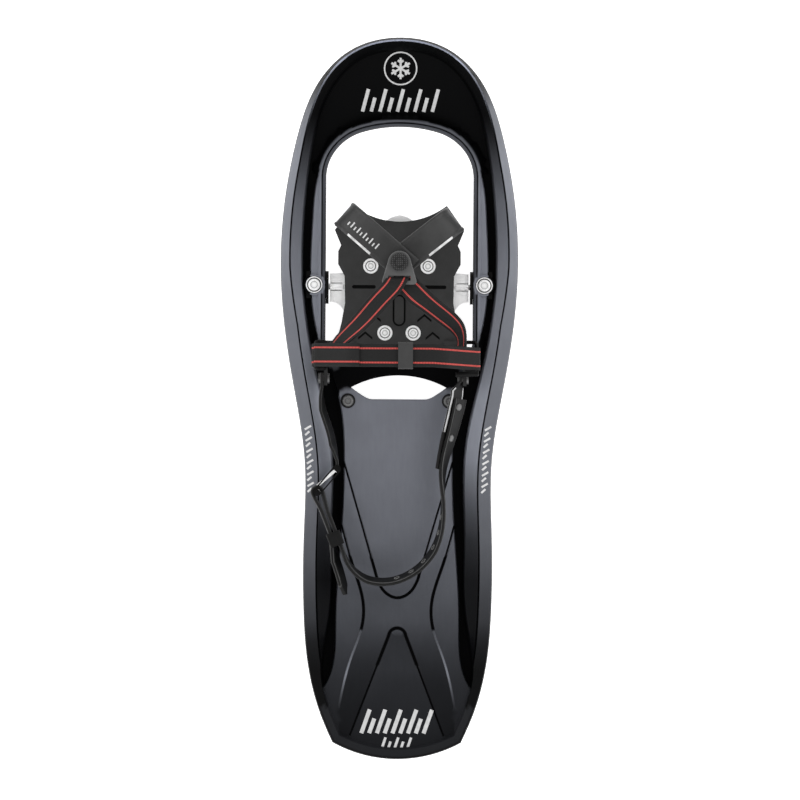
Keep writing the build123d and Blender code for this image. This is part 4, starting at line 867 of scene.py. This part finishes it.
# ---- Heel strap ----
STRAP_MIDDLE, STRAP_HALF, STRAP_THICK, TAB_THICK = 52.5, 7.5, 3.0, 2.5
ROLLER, ROLLER_RADIUS, ROLLER_GAP = np.array([-68.5, -80.5]), 2.4, 0.2
DOUBLED_START, DOUBLED_RUN, LAYER_GAP, LAP_GAP = np.array([-59.5, -97.0]), 38.0, 4.8, 0.7
DOWN, OUT, TIP = np.array([0.36, -0.933]), np.array([-0.933, -0.36]), (-41.5, -167)
HEEL_CURVE = (37.6, -98), (23.5, -135.5), (-6, -153.5), (-31, -149.5)
# Shares of the right tab's length where the strap follows it and where the lap rivets sit.
LAP_AT, RIVET_AT, STRAP_LEAN = (0.25, 0.45, 0.7, 1.0), (0.34, 0.66), 0.33
TAB_FOOT_Y, TAB_BEND_Y, HOLE_RADIUS, FIRST_HOLE, LAST_HOLE, HOLE_PITCH = 20.6, 8, 1.6, 46, 76, 6


def tab_line(x, middle, end, heading):
    """Plan line of a tab: straight past its pivot, then curved inward to its end."""
    foot, bend = (x, TAB_FOOT_Y), (x, TAB_BEND_Y)
    return join(straight(foot, bend, 1.0), smooth_line((bend, middle, end), 1.0, (0, -1), heading))


right_tab = tab_line(52.8, (45.6, -26), (36, -61), (-0.25, -1))
left_tab = tab_line(-65.2, (-56, -28), (-51.6, -59), (0, -1))


def outward_of(line):
    """Unit directions along a plan line and to its left."""
    along = unit(np.gradient(line, axis=0))
    return along, np.stack([-along[:, 1], along[:, 0]], 1)


def upright_band(name, line, thickness, lean, hold, material, node, relief=None, half=STRAP_HALF):
    """A band on edge whose top leans outward; it tilts about its foot where hold is one, else its middle."""
    _, outward = outward_of(line)
    widths = np.column_stack([outward * lean[:, None], np.ones(len(line))])
    centres = np.column_stack([line + outward * (lean * hold)[:, None] * STRAP_HALF,
                               np.full(len(line), STRAP_MIDDLE)])
    band = ribbon(name, centres, widths, half, thickness, 16, relief, 40, 0.45)
    return dress(band, material, "heel_strap", [node])


def strap_path():
    """Plan line of the heel strap: beside the right tab, round the heel, over the roller and back."""
    along, left = outward_of(right_tab)
    lap = [round(at * (len(right_tab) - 1)) for at in LAP_AT]
    beside_tab = [right_tab[k] + left[k] * ((TAB_THICK + STRAP_THICK) / 2 + LAP_GAP) for k in lap]
    inner_end = DOUBLED_START + DOWN * DOUBLED_RUN
    around = smooth_line([*beside_tab, *HEEL_CURVE, inner_end], 1.0, along[lap[0]], -DOWN)
    wrap = ROLLER_RADIUS + ROLLER_GAP + STRAP_THICK / 2
    onto, off = ROLLER - OUT * wrap, ROLLER + OUT * wrap
    outer_start = DOUBLED_START + OUT * LAYER_GAP
    outer_end = outer_start + DOWN * DOUBLED_RUN
    line = join(around, straight(inner_end, DOUBLED_START, 1.0),
                smooth_line((DOUBLED_START, onto), 1.0, -DOWN, -DOWN),
                three_point_arc(onto, ROLLER - DOWN * wrap, off, 0.6),
                smooth_line((off, outer_start), 1.0, DOWN, DOWN), straight(outer_start, outer_end, 1.0),
                smooth_line((outer_end, TIP), 1.0, DOWN, (0.2, -1)))
    return around, line


# The strap leans in beside the right tab, out round the heel, and in again at its free end.
around, strap_line = strap_path()
count = len(strap_line)
run = np.arange(count)
lean = np.interp(run, (0, 45, 85, 130, len(around) - 30, len(around), count - 52, count - 30, count),
                 (-0.85, -0.5, 0.0, STRAP_LEAN, STRAP_LEAN, 0, 0, -0.5, -0.38))
hold = np.interp(run, (45, 85), (0.5, 1))
taper = STRAP_HALF * np.interp(run, (count - 10, count - 1), (1, 0.35))


def strap_relief(along, across):
    """Raised borders along the strap."""
    return 0.3 * np.interp(np.abs(across), (4.8, 5.3, 6.3, 6.8), (0, 1, 1, 0)) + 0 * along


strap = upright_band("heel_strap_band", strap_line, STRAP_THICK, lean, hold, STRAP, "heel_strap",
                     strap_relief, taper)


def ring_faces(base, rings, sides, closed=False):
    """Faces between rings of points, with flat ends unless the last ring joins the first."""
    faces = []
    for i in range(rings if closed else rings - 1):
        for j in range(sides):
            a, b = base + i * sides + j, base + i * sides + (j + 1) % sides
            c, d = base + (i + 1) % rings * sides + (j + 1) % sides, base + (i + 1) % rings * sides + j
            faces.append((a, b, c, d))
    if not closed:
        end = base + (rings - 1) * sides
        faces += [tuple(range(base, base + sides))[::-1], tuple(range(end, end + sides))]
    return faces


def turned_on_band(name, line, lean, hold, picks, profile, closed):
    """Turned shapes square to a leaning band at numbered points, as rings of reach and radius."""
    verts, faces, sides = [], [], 24
    for k in picks:
        ahead, outward = (np.array([*way[k], 0]) for way in outward_of(line))
        up = unit(outward * lean[k] + (0, 0, 1))
        axis = np.cross(ahead, up)
        axis = axis * math.copysign(1, axis @ outward)
        middle = np.array([*line[k], STRAP_MIDDLE]) + outward * lean[k] * hold[k] * STRAP_HALF
        base = len(verts)
        for reach, radius in profile:
            for turn in np.linspace(0, 2 * math.pi, sides, endpoint=False):
                verts.append(middle + axis * reach + (math.cos(turn) * ahead + math.sin(turn) * up) * radius)
        faces += ring_faces(base, len(profile), sides, closed)
    return new_object(name, verts, faces, 50)


def punch_holes(band, picks, radius):
    """Round holes through the strap."""
    cutter = turned_on_band("cutter", strap_line, lean, hold, picks, ((-5, radius), (5, radius)), False)
    cut = band.modifiers.new("holes", "BOOLEAN")
    cut.object, cut.operation, cut.solver = cutter, "DIFFERENCE", "EXACT"
    mesh = bpy.data.meshes.new_from_object(band.evaluated_get(bpy.context.evaluated_depsgraph_get()))
    band.modifiers.clear()
    band.data = mesh
    bpy.data.objects.remove(cutter)


# The holes' places are counted in hundredths of the way round the heel.
hole_picks = [len(around) * k // 100 for k in range(FIRST_HOLE, LAST_HOLE + 1, HOLE_PITCH)]
punch_holes(strap, hole_picks, HOLE_RADIUS)
eyelet = ((-1.3, 1.75), (-2.0, 1.75), (-2.2, 2.1), (-2.0, 2.5), (-1.3, 2.5))
eyelets = turned_on_band("strap_eyelets", strap_line, lean, hold, hole_picks, eyelet, True)
dress(eyelets, EYELET, "heel_strap")

right_lean = np.interp(right_tab[:, 1], (-61, -40, -10, 6, 14), (-0.35, -0.6, -0.9, -0.85, 0))
left_lean = STRAP_LEAN * np.interp(left_tab[:, 1], (-55, -40, -10, 8), (0, -1, -1, 0))
about_middle = np.full(len(right_tab), 0.5)
upright_band("heel_tab_right_band", right_tab, TAB_THICK, right_lean, about_middle, TAB,
             "heel_strap_tab_right")
upright_band("heel_tab_left_band", left_tab, TAB_THICK, left_lean, 1, STRAP, "heel_strap_tab_left")

# Two heads on one shank, through the tab and the strap beside it.
lap_profile = ((-2.9, 0.6), (-2.6, 2.2), (-2.0, 3.0), (-1.4, 3.1), (-1.35, 2.0), (4.85, 2.0), (4.9, 3.1),
               (5.5, 3.0), (6.1, 2.2), (6.4, 0.6))
lap_picks = [round(at * (len(right_tab) - 1)) for at in RIVET_AT]
lap = turned_on_band("lap_rivets", right_tab, right_lean, about_middle, lap_picks, lap_profile, False)
dress(lap, DULL, "heel_strap", ["heel_strap_rivets"])

# ---- Rivet heads ----
# A set rivet from its shank up, as fractions of the head's radius and height, with each ring's shade: painted
# shade in the gap under the head and at the edge of the shallow middle.
RIVET_RINGS = (
    (0.5, -9, 0.3), (0.5, 0.02, 0.01), (1.17, 0.02, 0.01), (1.15, 0.1, 0.01), (1.0, 0.12, 0.01),
    (0.98, 0.55, 0.8), (0.9, 0.8, 1), (0.82, 0.95, 1), (0.62, 1, 0.95), (0.55, 0.88, 0.12),
    (0.48, 0.86, 0.8), (0.2, 0.92, 1),
)
WASHER = 1.0


def rivet_group(name, places, seat, head, height, pale, body, node):
    """Set rivets: a dark gap of painted shade where each head meets its washer, a domed rim and a shallow
    middle.
    """
    verts, faces, tone, sides = [], [], [], 40
    for x, y in places:
        base = len(verts)
        for radius, rise, shade in RIVET_RINGS:
            level = seat + WASHER + height * rise
            verts += [(*place, level) for place in circle(x, y, head * radius, sides)]
            tone += [shade * pale] * sides
        faces += ring_faces(base, len(RIVET_RINGS), sides)
    group = new_object(name, verts, faces, 60, tone=tone)
    return dress(group, HEAD, body, [node])


def both_sides(x, y):
    """A place and its mirror image."""
    return [(x, y), (-x, y)]


rivet_group("pivot_rivet_heads", both_sides(RIVET_X, RIVET_Y), RIM, 5.2, 2.2, 0.92, "deck", "pivot_rivets")
rivet_group("platform_rivet_heads", both_sides(24.3, 111.5) + both_sides(12, 54.8), PLATFORM_TOP, 3.9, 1.6,
            0.95, "binding", "platform_rivets")
rivet_group("heel_rivet_heads", both_sides(43, -3), PANEL, 4.6, 1.8, 0.16, "deck", "heel_crampon_rivets")


# ---- Printed marks ----
INK_FOOT, INK_TOP = 0.04, 0.16
BADGE_Y, BADGE_RADIUS, BADGE_LINE = 279, 14.2, 1.2


def stroke(a, b, half):
    """Outline of a straight bar between two places."""
    a, b = np.array(a, float), np.array(b, float)
    side = unit(np.array([a[1] - b[1], b[0] - a[0]])) * half
    return join(straight(a + side, b + side, 1.5), straight(b + side, b - side, 1.5),
                straight(b - side, a - side, 1.5), straight(a - side, a + side, 1.5))[:-1]


def printed(name, bars, surface=deck_top, body="deck", rings=()):
    """Thin ink shapes lying on a surface: bars, and rings between two radii about a place."""
    loops = [stroke(*bar) for bar in bars]
    hoops = [(circle(x, y, r, 48), circle(x, y, r - w, 48)) for x, y, r, w in rings]

    def region(p):
        found = np.zeros(len(p), bool)
        for loop in loops:
            found |= inside(p, loop)
        for outer, inner in hoops:
            found |= inside(p, outer) & ~inside(p, inner)
        return found

    creases = loops + [loop for hoop in hoops for loop in hoop]
    top, bottom = (lambda p, lift=lift: surface(p) + lift for lift in (INK_TOP, INK_FOOT))
    ink = plate(name, region, creases, [], 1.5, top, bottom)
    return dress(ink, INK, body)


def crystal(x, y, size, half):
    """A six-armed snow crystal with a small fork on each arm."""
    bars, middle = [], np.array([x, y])
    for turn in np.arange(6) * math.pi / 3 + math.pi / 2:
        reach = size * np.array([math.cos(turn), math.sin(turn)])
        fork = middle + 0.55 * reach
        bars.append((middle, middle + reach, half))
        for tilt in (0.9, -0.9):
            arm = 0.34 * size * np.array([math.cos(turn + tilt), math.sin(turn + tilt)])
            bars.append((fork, fork + arm, half))
    return bars


def slanted(x, y, count, pitch, height, half, lean):
    """A row of slanted bars, tall and short by turns."""
    bars = []
    for k in range(count):
        foot = np.array([x + (k - (count - 1) / 2) * pitch - lean / 2, y - height / 2])
        share = 1.0 if k % 2 == 0 else 0.62
        bars.append((foot, foot + share * np.array([lean, height]), half))
    return bars


def upright_bars(x, first, last, count, height, half):
    """Slanted bars one above another along a rail."""
    steps = np.linspace(first, last, count)
    bend = np.interp(steps, (last, -50, first), (0, math.copysign(0.9, x), math.copysign(2.7, x)))
    return [((x + b - height / 2, y - 1.6), (x + b + height / 2 * (1 if k % 2 == 0 else 0.3), y + 1.6), half)
            for k, (y, b) in enumerate(zip(steps, bend))]


printed("nose_badge", crystal(0, BADGE_Y, 9.0, 0.9), rings=[(0, BADGE_Y, BADGE_RADIUS, BADGE_LINE)])
printed("nose_peaks", slanted(0, 252, 9, 7.4, 19, 1.5, 5))
printed("tail_peaks", slanted(0, -275, 9, 6.6, 20, 1.7, 7) + slanted(0, -293, 5, 5.4, 9, 1.1, 3))
for name, x in (("rail_marks_left", -74.1), ("rail_marks_right", 73.4)):
    printed(name, upright_bars(x, -26, -79, 12, 5.4, 0.85))


def wing_top(p):
    """Upper surface of the left harness wing."""
    run = beside(wing_profile(LEFT_CROWN, LEFT_REACH), WING_THICK / 2)
    along = (p - (0, CAP_Y)) @ (-LEFT_WING[0], LEFT_WING[1])
    return np.interp(along, run[:, 0], run[:, 1])


def wing_bars(count, first, last, height, half):
    """Bars across the left wing, tall and short by turns."""
    along, across = np.array([-LEFT_WING[0], LEFT_WING[1]]), np.array([LEFT_WING[1], LEFT_WING[0]])
    bars = []
    for k, place in enumerate(np.linspace(first, last, count)):
        foot = np.array([0, CAP_Y]) + along * place - across * (2.4 + height / 2)
        bars.append((foot, foot + across * height * (1.0 if k % 2 == 0 else 0.6), half))
    return bars


printed("wing_marks", wing_bars(10, 23, 54, 5.4, 0.6), wing_top, "binding")

# ---- Carried-over pieces ----
FINISHES = (
    (TRACTION, "traction_rail_left", "traction_rail_right", "heel_crampon"),
    (BRIGHT, "rail_screws", "pivot_washers", "pivot_rod", "platform_washers", "heel_buckle_roller",
     "heel_buckle_tongue"),
    (BLOCK, "heel_crampon_washers", "pivot_block_left", "pivot_block_right", "side_ring_left",
     "side_ring_right", "heel_buckle_frame"),
    (CRAMPON, "toe_crampon"), (PLATFORM, "binding_platform"), (KNURL, "harness_cap"), (FRAME, "toe_buckle"),
    (DULL, "heel_strap_pivots"), (BUCKLE, "instep_slider"), (STRAP, "strap_keeper"),
)
for material, *names in FINISHES:
    for name in names:
        nodes[name].data.materials.clear()
        nodes[name].data.materials.append(material)


# ---- Stage ----
def stage_floor():
    """A plain pale floor with a slightly uneven sheen."""
    s = Shader("stage_floor")
    s.set(Base_Color=s.grey(s.span(s.noise(2, 2), 0.9, 0.92)), Roughness=0.9, Specular_IOR_Level=0.1)
    s.set(Emission_Color=(1.0, 1.0, 1.0), Emission_Strength=0.85)
    size, count = 3000.0, 8
    ticks = np.linspace(-size, size, count + 1)
    verts = [(x, y, 0) for y in ticks for x in ticks]
    corners = [row * (count + 1) + column for row in range(count) for column in range(count)]
    faces = [(a, a + 1, a + count + 2, a + count + 1) for a in corners]
    floor = new_object("stage_floor", verts, faces)
    floor.data.materials.append(s.material)


def studio_light():
    """A soft surround, bright from the sides and dim overhead."""
    world = bpy.data.worlds.new("studio")
    bpy.context.scene.world = world
    world.use_nodes = True
    tree = world.node_tree
    tree.nodes.clear()
    coords = tree.nodes.new("ShaderNodeTexCoord")
    split = tree.nodes.new("ShaderNodeSeparateXYZ")
    span = tree.nodes.new("ShaderNodeMapRange")
    for label, value in (("From Min", 0.8), ("From Max", 0.95), ("To Min", 2.1), ("To Max", 0.15)):
        span.inputs[label].default_value = value
    background = tree.nodes.new("ShaderNodeBackground")
    output = tree.nodes.new("ShaderNodeOutputWorld")
    tree.links.new(coords.outputs["Generated"], split.inputs[0])
    tree.links.new(split.outputs["Z"], span.inputs["Value"])
    tree.links.new(span.outputs[0], background.inputs["Strength"])
    tree.links.new(background.outputs[0], output.inputs[0])


def camera():
    """Straight above the deck, with the toe at the top of the picture."""
    data = bpy.data.cameras.new("camera")
    data.lens = 846.0
    data.sensor_width = 36.0
    data.clip_end = 40.0
    view = bpy.data.objects.new("camera", data)
    view.location = (0.0012, -0.0021, 16.0)
    view.rotation_euler = (0, 0, math.radians(0.35))
    bpy.context.scene.collection.objects.link(view)
    bpy.context.scene.camera = view


stage_floor()
studio_light()
camera()
bpy.context.scene.view_settings.view_transform = "Standard"
